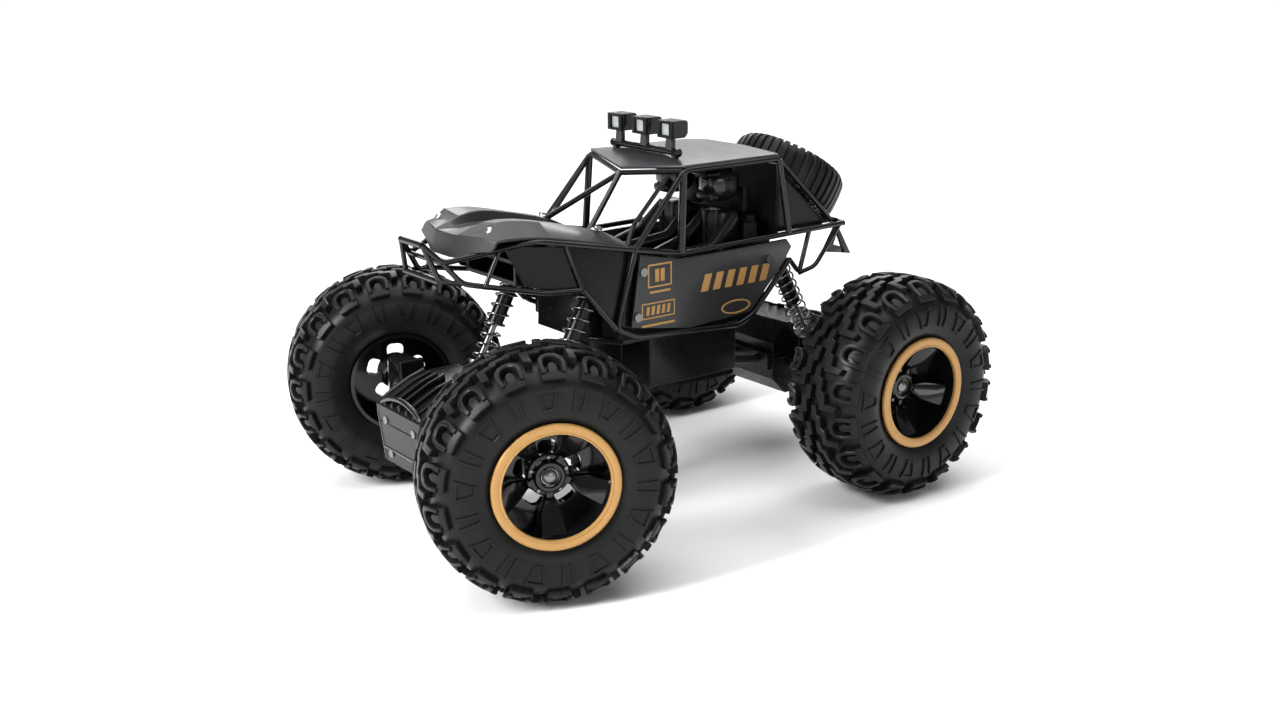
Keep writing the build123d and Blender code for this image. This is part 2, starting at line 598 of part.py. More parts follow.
cages = {}
for side_name, side in sides.items():
    y = side * side_y
    roof_front = (-10.1, side * 34.6, 150.0)
    roof_rear = (-65.0, side * 33.4, 149.9)
    tail_top = (-98, side * 33.4, 118.6)
    panel_front = (17.3, y, 119.4)
    sill = [(27.4, y, 86.6), (16.4, y, 81.6), (-39.9, y, 77.6), (-48.7, y, 80.9), (-70.6, y, 103.6)]
    belt = [(-7.4, y, 114.6), (-69.5, y, 115.6), (-106, side * 34.6, 115.9)]
    tail = [(-83.3, side * 35.5, 115.7), (-76.9, y, 96.2), (-70.6, y, 103.6)]
    with BuildPart() as cage:
        add_tubes([panel_front, roof_front, roof_rear, tail_top], 1.3)
        add_tubes([panel_front, *sill], 1.27)
        add_tubes([panel_front, *belt], 1.24)
        add_tube((-9.6, side * 34.8, 149.5), (-7.4, y, 114.6), 1.7)
        add_tube((-65.4, side * 33.6, 149.6), (-70, y, 115.6), 1.5)
        add_tube((44.9, side * 36.6, 106.4), (27.4, y, 86.6), 1.2)
        add_tubes(tail, 1.15)
        add_tubes([(-103.4, side * 34.8, 115.8), (-86.9, y, 98.1), (-76.9, y, 96.2)], 1.1)
        rear_plate = [(-101.1, 116.5), (-111.2, 100.6), (-92.4, 103.6)]
        add_slab(rear_plate, *sorted((side * 33.9, side * 35.1)))
        hole = [(-105, 105.2), (-100, 106.0), (-101.5, 110.5)]
        add_slab(hole, *sorted((side * 30, side * 37)), Mode.SUBTRACT)
        for stub_x, stub_z in ((10.0, 82.2), (-54.0, 86.4)):
            low_y, high_y = sorted((side * 32.6, side * 36.0))
            add_box((stub_x - 1, low_y, stub_z - 1), (stub_x + 1, high_y, stub_z + 1))
        add(front_frame.part, mode=Mode.SUBTRACT)
    cages[side_name] = cage.part
    finish(cage.part, f"cage_{side_name}")

with BuildPart() as cage_cross:
    apex = (-1.4, 0, 146.0)
    for side in sides.values():
        knee = (13.4, side * 29.0, 128.0)
        add_tube(apex, (28.4, side * 17.6, 125.8), 1.3)
        add_tube((-3.6, side * 30, 146.5), knee, 1.0)
        add_tube(knee, (20.5, side * 34.0, 119.4), 0.97)
        add_tube(apex, (-10.1, side * 33.4, 149.6), 1.2)
    add_tube((-65.0, -32.4, 149.0), (-65.0, 32.4, 149.0), 1.3)
    add_tube((-106, -33.6, 115.9), (-106, 33.6, 115.9), 1.3)
    add_tube((16.9, -35.0, 119.4), (16.9, 35.0, 119.4), 1.2)
    for blocker in (*cages.values(), engine_bay.part, front_frame.part):
        add(blocker, mode=Mode.SUBTRACT)
finish(cage_cross.part, "cage_cross")

# ---- hood: two raised fenders about a lower channel that widens to the back ----
# Each station is X, the edge's half width, and Z of the channel, crease, ridge and edge.
hood_stations = [
    (87.6, 29.0, 3.0, 129.3, 129.7, 129.6, 129.0),
    (79.0, 29.2, 6.0, 130.4, 130.9, 131.8, 129.4),
    (73.0, 29.6, 8.0, 131.4, 132.4, 135.8, 129.8),
    (65.0, 30.4, 10.0, 131.0, 133.0, 135.4, 129.6),
    (58.0, 31.0, 11.5, 129.8, 132.0, 134.2, 128.4),
    (44.0, 32.4, 13.0, 127.6, 129.4, 131.2, 124.6),
    (33.0, 33.4, 14.0, 125.8, 127.6, 129.4, 121.4),
    (24.0, 33.8, 14.5, 124.0, 125.6, 127.4, 119.4),
    (17.0, 33.8, 14.5, 120.6, 121.8, 122.6, 118.6),
]
with BuildPart() as hood:
    for x, edge, crease, z_centre, z_crease, z_ridge, z_edge in hood_stations:
        half = [(crease - 1.5, z_centre), (crease + 2.0, z_crease), (21.5, z_ridge), (edge, z_edge)]
        top = [(-y, z) for y, z in reversed(half)] + half
        under = [(y, z - 1.5) for y, z in reversed(top)]
        with BuildSketch(Plane(origin=(x, 0, 0), x_dir=(0, 1, 0), z_dir=(1, 0, 0))):
            with BuildLine():
                Polyline(*top, *under, close=True)
            make_face()
    loft(ruled=True)
    for side in sides.values():
        with BuildSketch(Plane.XY.offset(120)):
            with BuildLine():
                corner = [(87.0, side * 7.5), (81.0, side * 28.9), (81.0, side * 36), (95, side * 36)]
                Polyline(*corner, (95, side * 7.5), close=True)
            make_face()
        extrude(amount=20, mode=Mode.SUBTRACT)
        add_plate([(87.0, side * 7.5, 129.3), (81.0, side * 28.9, 128.9), (82.6, side * 24.0, 125.8)], (-1.2, 0, 0.1))
        add_plate([(87.0, side * 7.5, 129.3), (82.6, side * 24.0, 125.8), (88.8, side * 6.4, 121.1)], (-1.2, 0, 0.1))
    add_plate([(87.0, -7.5, 129.3), (87.0, 7.5, 129.3), (88.8, 6.4, 121.1), (88.8, -6.4, 121.1)], (-1.2, 0, 0))
    frames = (front_frame.part, *cages.values(), cage_cross.part)
    for blocker in (*frames, engine_bay.part):
        add(blocker, mode=Mode.SUBTRACT)
finish(hood.part, "hood")

# ---- roof: six corners round a low crown, with a visor that folds down ----
roof_apex = (-1.4, 0, 148.6)
crown_front = (-16.0, 0, 154.6)
crown_rear = (-64.5, 0, 154.0)
with BuildPart() as roof_panel:
    for side in sides.values():
        front_corner = (-10.1, side * 35.2, 152.3)
        rear_corner = (-65.6, side * 33.8, 152.1)
        add_plate([roof_apex, front_corner, crown_front], (0, 0, -1.3))
        add_plate([front_corner, rear_corner, crown_rear], (0, 0, -1.3))
        add_plate([front_corner, crown_rear, crown_front], (0, 0, -1.3))
    for blocker in (*cages.values(), cage_cross.part, cockpit_tub.part):
        add(blocker, mode=Mode.SUBTRACT)
finish(roof_panel.part, "roof_panel")

# ---- side panels ----
panel = [(15.4, 117.0), (-7.4, 112.4), (-68.1, 113.4), (-71.3, 109.6), (-65.9, 102.0),
         (-46.7, 82.8), (-11.2, 80.9), (20.3, 86.0)]
for side_name, side in sides.items():
    with BuildPart() as side_panel:
        add_slab(panel, *sorted((side * 35.3, side * 36.9)))
        for blocker in (cages[side_name], front_frame.part):
            add(blocker, mode=Mode.SUBTRACT)
    finish(side_panel.part, f"side_panel_{side_name}")

# ---- spare wheel on the sloping rear cover ----
spare_centre = Vector(-99.5, 0, 134.0)
spare_tilt = math.radians(33.5)
spare_axis = Vector(-math.sin(spare_tilt), 0, math.cos(spare_tilt))


def add_spare_ring(outline, mode=Mode.ADD):
    """The outline, as radius and height along the spare wheel's axis, turned."""
    across = Vector(0, 1, 0)
    with BuildSketch(Plane(origin=spare_centre, x_dir=across, z_dir=across.cross(spare_axis))) as profile:
        with BuildLine():
            Polyline(*outline, close=True)
        make_face()
    revolve(profile.sketch, axis=Axis(spare_centre, spare_axis), mode=mode)


with BuildPart() as spare_tyre:
    add_spare_ring([(13.6, -8.6), (18, -10), (25, -9.6), (28, -7.4), (28, 7.4), (25, 9.6),
                    (18, 10), (13.6, 8.6), (13.6, 6.4), (18, 7.6), (24, 7.2), (25, 6),
                    (25, -6), (24, -7.2), (18, -7.6), (13.6, -6.4)])
finish(spare_tyre.part, "spare_tyre")
with BuildPart() as spare_rim:
    add_spare_ring([(12.4, -9), (13.5, -9), (13.5, 9), (12.4, 9), (12.4, 3.5), (4.0, 3.5),
                    (4.0, 6.0), (0, 6.0), (0, -17.0), (4.0, -17.0), (4.0, 1.0), (12.4, 1.0)])
finish(spare_rim.part, "spare_rim")

with BuildPart() as rear_cover:
    add_slab([(-68, 143.5), (-96, 119), (-96, 115.6), (-68, 115.6)], -31, 31)
    cover_inside = [(-69.6, 140.0), (-93.5, 119), (-93.5, 110), (-69.6, 110)]
    add_slab(cover_inside, -29.4, 29.4, Mode.SUBTRACT)
    add_box((-106, -31, 116.2), (-95, 31, 117.4))
    add_box((-104, -24, 116.0), (-98, 24, 118), Mode.SUBTRACT)
    for blocker in (*cages.values(), cage_cross.part, spare_rim.part, cockpit_tub.part):
        add(blocker, mode=Mode.SUBTRACT)
finish(rear_cover.part, "rear_cover")

# ---- two plain seated figures with helmets ----
with BuildPart() as drivers:
    for side in sides.values():
        y = side * seat_y
        with Locations((-45.5, y, 139.0)):
            Sphere(7.6)
        add_box((-50.0, y - 8.0, 93.0), (-41.0, y + 8.0, 128.0))
        add_cylinder((-45.5, y, 127), (0, 0, 1), 3.4, 0, 8)
        for elbow in (-1, 1):
            arm = [(-45.5, y + elbow * 8.6, 124), (-32, y + elbow * 8.2, 108), (-8, y + elbow * 5, 109)]
            leg = [(-44, y + elbow * 4.6, 96.6), (-22, y + elbow * 5, 98.5), (-8, y + elbow * 5, 87)]
            add_tubes(arm, 2.6)
            add_knots(arm, 2.9)
            add_tubes(leg, 3.4)
            add_knots(leg, 3.7)
    for blocker in (cockpit_tub.part, engine_bay.part):
        add(blocker, mode=Mode.SUBTRACT)
finish(drivers.part, "drivers")

# ---- roof lights ----
lamp_x, lamp_z = -17.2, 166.0
with BuildPart() as light_bar:
    add_tube((-15.6, -23.6, 156.0), (-15.6, 23.6, 156.0), 1.6)
    with Locations((-15.6, -23.6, 156.0), (-15.6, 23.6, 156.0)):
        Sphere(1.6)
    for y in (-18.4, 0.0, 18.4):
        lamp = [(-21.2, 164.0), (-19.6, 162.1), (-13.2, 162.1), (-13.2, 169.7), (-20.4, 169.7), (-21.2, 168.6)]
        add_slab(lamp, y - 5.25, y + 5.25)
        add_box((-16.6, y - 2.2, 155.5), (-14.4, y + 2.2, 163))
        add_box((-14.4, y - 4.2, 162.9), (-12.9, y + 4.2, 168.9), Mode.SUBTRACT)
    for y in (-21.5, 21.5):
        add_box((-17.0, y - 1.2, 151.0), (-14.2, y + 1.2, 156.0))
    for blocker in (roof_panel.part, *cages.values(), cage_cross.part):
        add(blocker, mode=Mode.SUBTRACT)
finish(light_bar.part, "light_bar")
with BuildPart() as lamp_lenses:
    with Locations((-13.9, -18.4, 165.9), (-13.9, 0, 165.9), (-13.9, 18.4, 165.9)):
        Cylinder(2.9, 1.0, rotation=(0, 90, 0))
finish(lamp_lenses.part, "lamp_lenses")

# ---- screws of the body panels: one node for all of them ----
with BuildPart() as body_screws:
    for side in sides.values():
        for x, y, z in ((79.2, 20.9, 131.2), (26.0, 21.0, 127.2)):
            add_cylinder((x, side * y, z), (-0.05 if x > 50 else -0.25, 0, 1), 2.0, -0.6, 1.2)
        for x, z in ((14.0, 109.6), (17.2, 90.2), (-57.1, 105.5)):
            add_cylinder((x, 0, z), (0, side, 0), 1.9, 36.9, 37.9)
    for blocker in (hood.part, *cages.values()):
        add(blocker, mode=Mode.SUBTRACT)
finish(body_screws.part, "body_screws")
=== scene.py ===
"""A remote control rock crawler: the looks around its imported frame."""

import json
import math

import bmesh
import bpy
from mathutils import Matrix, Vector


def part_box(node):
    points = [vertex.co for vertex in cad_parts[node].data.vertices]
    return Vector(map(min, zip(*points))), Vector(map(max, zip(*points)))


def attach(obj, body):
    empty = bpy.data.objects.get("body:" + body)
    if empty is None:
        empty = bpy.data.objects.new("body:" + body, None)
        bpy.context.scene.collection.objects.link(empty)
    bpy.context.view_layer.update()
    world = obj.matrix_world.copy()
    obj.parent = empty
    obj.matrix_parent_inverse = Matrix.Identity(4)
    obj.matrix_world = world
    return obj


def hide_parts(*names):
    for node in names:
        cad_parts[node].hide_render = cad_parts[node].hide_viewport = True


bl_info = {
    "name": "Rock Crawler",
    "version": (1, 0, 0),
    "blender": (4, 5, 0),
    "location": "3D View > Sidebar > Crawler",
    "description": "Builds the finished look of a toy rock crawler around its packed frame",
    "category": "Object",
}

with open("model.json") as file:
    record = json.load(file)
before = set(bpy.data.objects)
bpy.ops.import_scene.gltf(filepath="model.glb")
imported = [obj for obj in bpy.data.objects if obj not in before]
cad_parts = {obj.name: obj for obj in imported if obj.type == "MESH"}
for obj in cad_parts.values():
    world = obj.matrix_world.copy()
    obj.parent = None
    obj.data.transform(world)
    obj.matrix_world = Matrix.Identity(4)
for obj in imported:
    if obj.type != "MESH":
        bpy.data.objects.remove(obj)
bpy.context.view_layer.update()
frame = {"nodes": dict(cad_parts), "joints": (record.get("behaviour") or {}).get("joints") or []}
MM = 0.001
SIDES = {"left": 1, "right": -1}


# ---------------------------------------------------------------- shader helpers
class Value:
    """A socket that a material's maths is written with."""

    def __init__(self, finish, socket):
        self.finish = finish
        self.socket = socket

    def _math(self, operation, first, second):
        return self.finish.node("ShaderNodeMath", {"operation": operation}, {0: first, 1: second})

    def __add__(self, other):
        return self._math("ADD", self, other)

    def __radd__(self, other):
        return self._math("ADD", other, self)

    def __mul__(self, other):
        return self._math("MULTIPLY", self, other)

    def __rmul__(self, other):
        return self._math("MULTIPLY", other, self)


class Finish:
    """One material: its shader's fixed settings, and the nodes that vary over the surface."""

    def __init__(self, name, **fixed):
        self.material = bpy.data.materials.new(name)
        self.material.use_nodes = True
        self.tree = self.material.node_tree
        self.shader = self.tree.nodes["Principled BSDF"]
        for key, value in fixed.items():
            self.shader.inputs[key.replace("_", " ").title().replace("Ior", "IOR")].default_value = value

    def node(self, kind, settings=None, inputs=None, output=0):
        """Any node: its settings first, then the values or links of its sockets."""
        made = self.tree.nodes.new(kind)
        for key, value in (settings or {}).items():
            if key == "stops":
                self.set_stops(made.color_ramp, value)
            else:
                setattr(made, key, value)
        for key, value in (inputs or {}).items():
            self.feed(made.inputs[key], value)
        return Value(self, made.outputs[output])

    def feed(self, socket, value):
        """A link if the value is one, else a constant."""
        if isinstance(value, Value):
            self.tree.links.new(value.socket, socket)
        else:
            socket.default_value = value

    def set(self, name, value):
        """Feed one of the shader's own sockets."""
        self.feed(self.shader.inputs[name], value)

    @staticmethod
    def set_stops(ramp, stops):
        """Give a colour ramp its stops, each a position and a colour."""
        while len(ramp.elements) > 1:
            ramp.elements.remove(ramp.elements[-1])
        ramp.elements[0].position, ramp.elements[0].color = stops[0]
        for position, colour in stops[1:]:
            ramp.elements.new(position).color = colour

    def place(self):
        """The surface's own coordinates, in metres."""
        return self.node("ShaderNodeTexCoord", output=3)

    def noise(self, scale, detail=3.0, roughness=0.5, vector=None):
        """Soft noise, as many cycles to the metre as scale."""
        inputs = {"Vector": vector or self.place(), "Scale": scale, "Detail": detail, "Roughness": roughness}
        return self.node("ShaderNodeTexNoise", None, inputs)

    def tint(self, factor, low, high):
        """A colour that goes from low to high with the factor."""
        stops = [(0.0, (*low, 1)), (1.0, (*high, 1))]
        return self.node("ShaderNodeValToRGB", {"stops": stops}, {"Fac": factor})

    def bump(self, height, strength, distance):
        """Feed the normal with a height."""
        inputs = {"Height": height, "Strength": strength, "Distance": distance}
        self.set("Normal", self.node("ShaderNodeBump", None, inputs))


def shade(colour, share):
    """The same colour, darker or lighter."""
    return tuple(channel * share for channel in colour[:3])


def moulded_plastic(name, colour, roughness, grain=0.25, coat=0.0):
    """Moulded plastic: a faint mottle, a fine grain and uneven gloss."""
    finish = Finish(name, specular_ior_level=0.16, coat_weight=coat, coat_roughness=0.1)
    mottle = finish.noise(60.0, 4.0)
    finish.set("Base Color", finish.tint(mottle, shade(colour, 0.82), shade(colour, 1.2)))
    finish.set("Roughness", roughness - 0.06 + finish.noise(140.0, 2.0) * 0.12)
    finish.bump(finish.noise(1800.0, 2.0), grain, 0.0001)
    return finish.material


def gunmetal_paint(name, colour):
    """Dark metallic lacquer: fine flakes under a clear coat."""
    finish = Finish(name, metallic=0.3, coat_weight=0.2, coat_roughness=0.15)
    flakes = finish.node("ShaderNodeTexVoronoi", None, {"Vector": finish.place(), "Scale": 2600.0}, output=1)
    grey = finish.node("ShaderNodeRGBToBW", None, {0: flakes})
    finish.set("Base Color", finish.tint(grey, shade(colour, 0.75), shade(colour, 1.35)))
    finish.set("Roughness", 0.36 + finish.noise(90.0, 2.0) * 0.12)
    finish.bump(finish.noise(120.0, 2.0), 0.04, 0.0004)
    return finish.material


def tyre_rubber(name, colour):
    """Matte moulded rubber with a dusty bloom and a fine skin."""
    finish = Finish(name, specular_ior_level=0.16)
    bloom = finish.noise(45.0, 6.0, 0.6)
    finish.set("Base Color", finish.tint(bloom, shade(colour, 0.75), shade(colour, 1.3)))
    finish.set("Roughness", 0.28 + finish.noise(160.0, 3.0) * 0.14)
    skin = finish.noise(1400.0, 3.0) * 0.6 + finish.noise(300.0, 2.0) * 0.4
    finish.bump(skin, 0.25, 0.0002)
    return finish.material


def gold_paint(name, colour):
    """Satin gold lacquer on turned metal."""
    finish = Finish(name, metallic=0.35, coat_weight=0.15, coat_roughness=0.3)
    turned = finish.noise(220.0, 4.0, 0.6)
    finish.set("Base Color", finish.tint(turned, shade(colour, 0.9), shade(colour, 1.1)))
    finish.set("Roughness", 0.38 + turned * 0.14)
    finish.bump(finish.noise(2400.0, 2.0), 0.12, 0.00008)
    return finish.material


def bright_metal(name, colour, roughness):
    """Plated or brushed metal with fine scratches."""
    finish = Finish(name, metallic=1.0)
    scratches = finish.noise(700.0, 4.0, 0.7)
    finish.set("Base Color", finish.tint(scratches, shade(colour, 0.85), colour[:3]))
    finish.set("Roughness", roughness - 0.05 + scratches * 0.14)
    finish.bump(scratches, 0.06, 0.0001)
    return finish.material


def lens_plastic(name, colour):
    """A pale lamp lens with fine ribs."""
    finish = Finish(name, roughness=0.12, coat_weight=0.8, coat_roughness=0.05)
    place = finish.place()
    ribs = finish.node("ShaderNodeTexWave", {"bands_direction": "Y"}, {"Vector": place, "Scale": 320.0})
    finish.set("Base Color", finish.tint(ribs, shade(colour, 0.8), colour[:3]))
    finish.bump(ribs, 0.4, 0.0002)
    return finish.material


# ---------------------------------------------------------------- mesh helpers
def mount(name, mesh, body, stands_for, smooth, bevel=0.0):
    """Put a mesh in the scene as a piece that rides on a body; edges sharper than smooth stay hard."""
    piece = bpy.data.objects.new(name, mesh)
    bpy.context.scene.collection.objects.link(piece)
    if smooth:
        mesh.shade_smooth()
        mesh.set_sharp_from_angle(angle=math.radians(smooth))
    if bevel:
        rounding = piece.modifiers.new("Rounding", "BEVEL")
        rounding.width = bevel
        rounding.segments = 2
        rounding.limit_method = "ANGLE"
        rounding.angle_limit = math.radians(28)
        rounding.harden_normals = False
    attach(piece, body)
    if stands_for:
        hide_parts(*stands_for)
    return piece


def add_piece(name, bm, material, body, stands_for, smooth=30, bevel=0.0):
    """Turn a finished bmesh into a piece; stands_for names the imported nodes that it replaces."""
    mesh = bpy.data.meshes.new(name)
    bm.to_mesh(mesh)
    bm.free()
    mesh.materials.append(material)
    return mount(name, mesh, body, stands_for, smooth, bevel)


def give_finish(material, *nodes):
    """Give carried-over nodes their finish."""
    for node in nodes:
        mesh = frame["nodes"][node].data
        mesh.materials.clear()
        mesh.materials.append(material)


def rounded_copies(finish, bodies, width):
    """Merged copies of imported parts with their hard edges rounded; bodies maps a node to its body."""
    for node, body in bodies.items():
        source = frame["nodes"][node]
        bm = bmesh.new()
        bm.from_mesh(source.data)
        bm.transform(source.matrix_world)
        bmesh.ops.remove_doubles(bm, verts=bm.verts, dist=2e-6)
        bmesh.ops.dissolve_limit(bm, angle_limit=math.radians(1.0), verts=bm.verts, edges=bm.edges)
        piece = add_piece(f"{node}_shell", bm, finish, body, (node,), 28, width * MM)
        piece.modifiers["Rounding"].use_clamp_overlap = False


def recalculate(bm):
    """Merge doubles and turn the faces of closed shapes outwards."""
    bmesh.ops.remove_doubles(bm, verts=bm.verts, dist=1e-6)
    bmesh.ops.recalc_face_normals(bm, faces=bm.faces)


def lay(bm, place):
    """Move a whole bmesh by a matrix."""
    bmesh.ops.transform(bm, matrix=place, verts=bm.verts)


def points_of(made):
    """The vertices among what an extrusion made."""
    return [item for item in made["geom"] if isinstance(item, bmesh.types.BMVert)]


def round_edges(bm, edges, width):
    """Round edges by a width in mm."""
    bmesh.ops.bevel(bm, geom=edges, offset=width * MM, segments=2, profile=0.5, affect="EDGES", material=-1)


def span(side, near, far, middle=0.0):
    """The lower and the higher Y of two distances to one side of a middle."""
    return sorted((middle + side * near, middle + side * far))


def add_spin(bm, outline, steps, closed=True):
    """Turn an outline of (radius, height) once round the bmesh's Z axis."""
    points = [bm.verts.new((radius * MM, 0, height * MM)) for radius, height in outline]
    edges = [bm.edges.new(pair) for pair in zip(points, points[1:])]
    if closed:
        edges.append(bm.edges.new((points[-1], points[0])))
    bmesh.ops.spin(bm, geom=points + edges, cent=(0, 0, 0), axis=(0, 0, 1), angle=math.tau,
                   steps=steps, use_merge=True)


def add_plate(bm, outline, low_y, high_y):
    """Add a plate in the X-Z plane between two Y values, its outline in mm."""
    face = bm.faces.new([bm.verts.new((x * MM, low_y * MM, z * MM)) for x, z in outline])
    made = bmesh.ops.extrude_face_region(bm, geom=[face])
    bmesh.ops.translate(bm, verts=points_of(made), vec=(0, (high_y - low_y) * MM, 0))


def plane_block(outline, low_y, high_y, rounding=0.4):
    """One plate with round edges."""
    bm = bmesh.new()
    add_plate(bm, outline, low_y, high_y)
    recalculate(bm)
    round_edges(bm, bm.edges[:], rounding)
    return bm


def rounded_box(bm, low, high, rounding):
    """Add a box between two corners in mm, with round edges."""
    made = bmesh.ops.create_cube(bm, size=1.0)["verts"]
    size = [(b - a) * MM for a, b in zip(low, high)]
    middle = [(a + b) / 2 * MM for a, b in zip(low, high)]
    bmesh.ops.scale(bm, verts=made, vec=size)
    bmesh.ops.translate(bm, verts=made, vec=middle)
    round_edges(bm, list({edge for vert in made for edge in vert.link_edges}), rounding)


def bent_path(points, bend=3.0):
    """The points in metres, with each corner turned into a short curve of five points."""
    corners = [Vector(point) * MM for point in points]
    path = [corners[0]]
    for before, corner, after in zip(corners, corners[1:], corners[2:]):
        start = corner + (before - corner).normalized() * min(bend * MM, (before - corner).length * 0.4)
        end = corner + (after - corner).normalized() * min(bend * MM, (after - corner).length * 0.4)
        path += [start.lerp(corner, t).lerp(corner.lerp(end, t), t) for t in (0, 0.25, 0.5, 0.75, 1)]
    return path + [corners[-1]]


def add_tubes(name, chains, material, body, stands_for):
    """Round tubes, each given as (radius in mm, points in mm)."""
    curve = bpy.data.curves.new(name, "CURVE")
    curve.dimensions = "3D"
    curve.bevel_depth = MM
    curve.bevel_resolution = 4
    curve.use_fill_caps = True
    for radius, points in chains:
        path = bent_path(points)
        spline = curve.splines.new("POLY")
        spline.points.add(len(path) - 1)
        for point, place in zip(spline.points, path):
            point.co = (*place, 1)
            point.radius = radius
    curve.materials.append(material)
    holder = bpy.data.objects.new(name, curve)
    bpy.context.scene.collection.objects.link(holder)
    mesh = bpy.data.meshes.new_from_object(holder)
    bpy.data.objects.remove(holder)
    mount(name, mesh, body, stands_for, 40)


def mirrored(points):
    """The same points on the other side of the car."""
    return [(x, -y, z) for x, y, z in points]


# ---------------------------------------------------------------- wheels' places
def joint(name):
    """A joint of the frame, by its name."""
    return next(item for item in frame["joints"] if item["name"] == name)


def wheel_place(centre, outward, up=Vector((0, 0, 1))):
    """A matrix from a wheel's own space, with Z out of the car and X up, to the car's."""
    out = Vector(outward).normalized()
    across = out.cross(up)
    turn = Matrix((up, across, out)).transposed()
    return Matrix.Translation(centre) @ turn.to_4x4()


TYRE_HALF_WIDTH = 21.2


def wheels():
    """Each wheel's name, body, tyre node and place."""
    spin = Vector(joint("front_left_spin")["axis"])
    found = []
    for side_name, side in SIDES.items():
        low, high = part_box(f"tyre_front_{side_name}")
        found.append((f"front_{side_name}", f"front_{side_name}_wheel", f"tyre_front_{side_name}",
                      wheel_place((low + high) / 2, spin * side)))
    low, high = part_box("rear_tyres")
    for side_name, side in SIDES.items():
        outer_y = high.y if side > 0 else low.y
        centre = Vector(((low.x + high.x) / 2, outer_y - side * TYRE_HALF_WIDTH * MM, (low.z + high.z) / 2))
        found.append((f"rear_{side_name}", "rear_wheels", "rear_tyres", wheel_place(centre, (0, side, 0))))
    return found


# ---------------------------------------------------------------- settings
class CrawlerSizes(bpy.types.PropertyGroup):
    """Sizes that a user would change."""

    lugs: bpy.props.IntProperty(name="Lugs", description="Shoulder lugs on each side of a tyre",
                                default=18, min=6)
    lug_height: bpy.props.FloatProperty(name="Lug height", description="Height of the tread above the tyre",
                                        default=3.4 * MM, subtype="DISTANCE", unit="LENGTH")
    emboss: bpy.props.FloatProperty(name="Sidewall relief",
                                    description="Height of the sidewall's raised shapes",
                                    default=0.8 * MM, subtype="DISTANCE", unit="LENGTH")
    tube: bpy.props.FloatProperty(name="Cage tube", description="Radius of the cage's main tubes",
                                  default=1.3 * MM, subtype="DISTANCE", unit="LENGTH")
    lens: bpy.props.FloatProperty(name="Lens", description="Focal length of the camera, in millimetres",
                                  default=41.83, min=10.0)


def colour_property(name, description, default):
    """A colour setting."""
    return bpy.props.FloatVectorProperty(name=name, description=description, subtype="COLOR",
                                         size=3, min=0.0, max=1.0, default=default)


class CrawlerColours(bpy.types.PropertyGroup):
    """Colours that a user would change."""

    panel: colour_property("Panels", "Hood, roof and side panels", (0.019, 0.02, 0.022))
    tube: colour_property("Tubes", "Cage and bumper tubes", (0.004, 0.004, 0.0045))
    rubber: colour_property("Tyres", "Tyre rubber", (0.0075, 0.0082, 0.008))
    gold: colour_property("Gold", "Wheel rings and stripes", (0.44, 0.24, 0.072))
    black: colour_property("Black plastic", "Hull, axles and cockpit", (0.005, 0.0052, 0.006))
    steel: colour_property("Steel", "Springs, screws and rods", (0.72, 0.72, 0.74))


def sizes():
    """The size settings."""
    return bpy.context.scene.crawler_sizes


def colours():
    """The colour settings."""
    return bpy.context.scene.crawler_colours


finishes = {}


def finish_of(name):
    """Each finish is made once, when it is first asked for."""
    paint = colours()
    makers = {
        "panel": (gunmetal_paint, "Gunmetal panel", paint.panel),
        "tube": (moulded_plastic, "Gloss tube", paint.tube, 0.22, 0.08, 0.5),
        "rubber": (tyre_rubber, "Tyre rubber", paint.rubber),
        "gold": (gold_paint, "Gold ring", paint.gold),
        "rim": (moulded_plastic, "Gloss rim", shade(paint.black, 0.8), 0.16, 0.05, 0.6),
        "black": (moulded_plastic, "Black plastic", paint.black, 0.28, 0.2, 0.08),
        "matte": (moulded_plastic, "Matte black plastic", shade(paint.black, 0.7), 0.55, 0.4),
        "steel": (bright_metal, "Steel", paint.steel, 0.24),
        "dark_steel": (bright_metal, "Blackened steel", shade(paint.steel, 0.3), 0.3),
        "chrome": (bright_metal, "Spring wire", shade(paint.steel, 0.32), 0.2),
        "lens": (lens_plastic, "Lamp lens", (0.3, 0.32, 0.32)),
        "gear": (moulded_plastic, "White gear", (0.62, 0.62, 0.58), 0.45),
        "cell": (moulded_plastic, "Battery sleeve", (0.02, 0.06, 0.2), 0.3, 0.1, 0.4),
        "board": (moulded_plastic, "Circuit board", (0.01, 0.08, 0.03), 0.35, 0.2, 0.2),
        "switch": (moulded_plastic, "Switch knob", (0.4, 0.015, 0.012), 0.4),
    }
    if name not in finishes:
        maker, *settings = makers[name]
        finishes[name] = maker(*settings)
    return finishes[name]


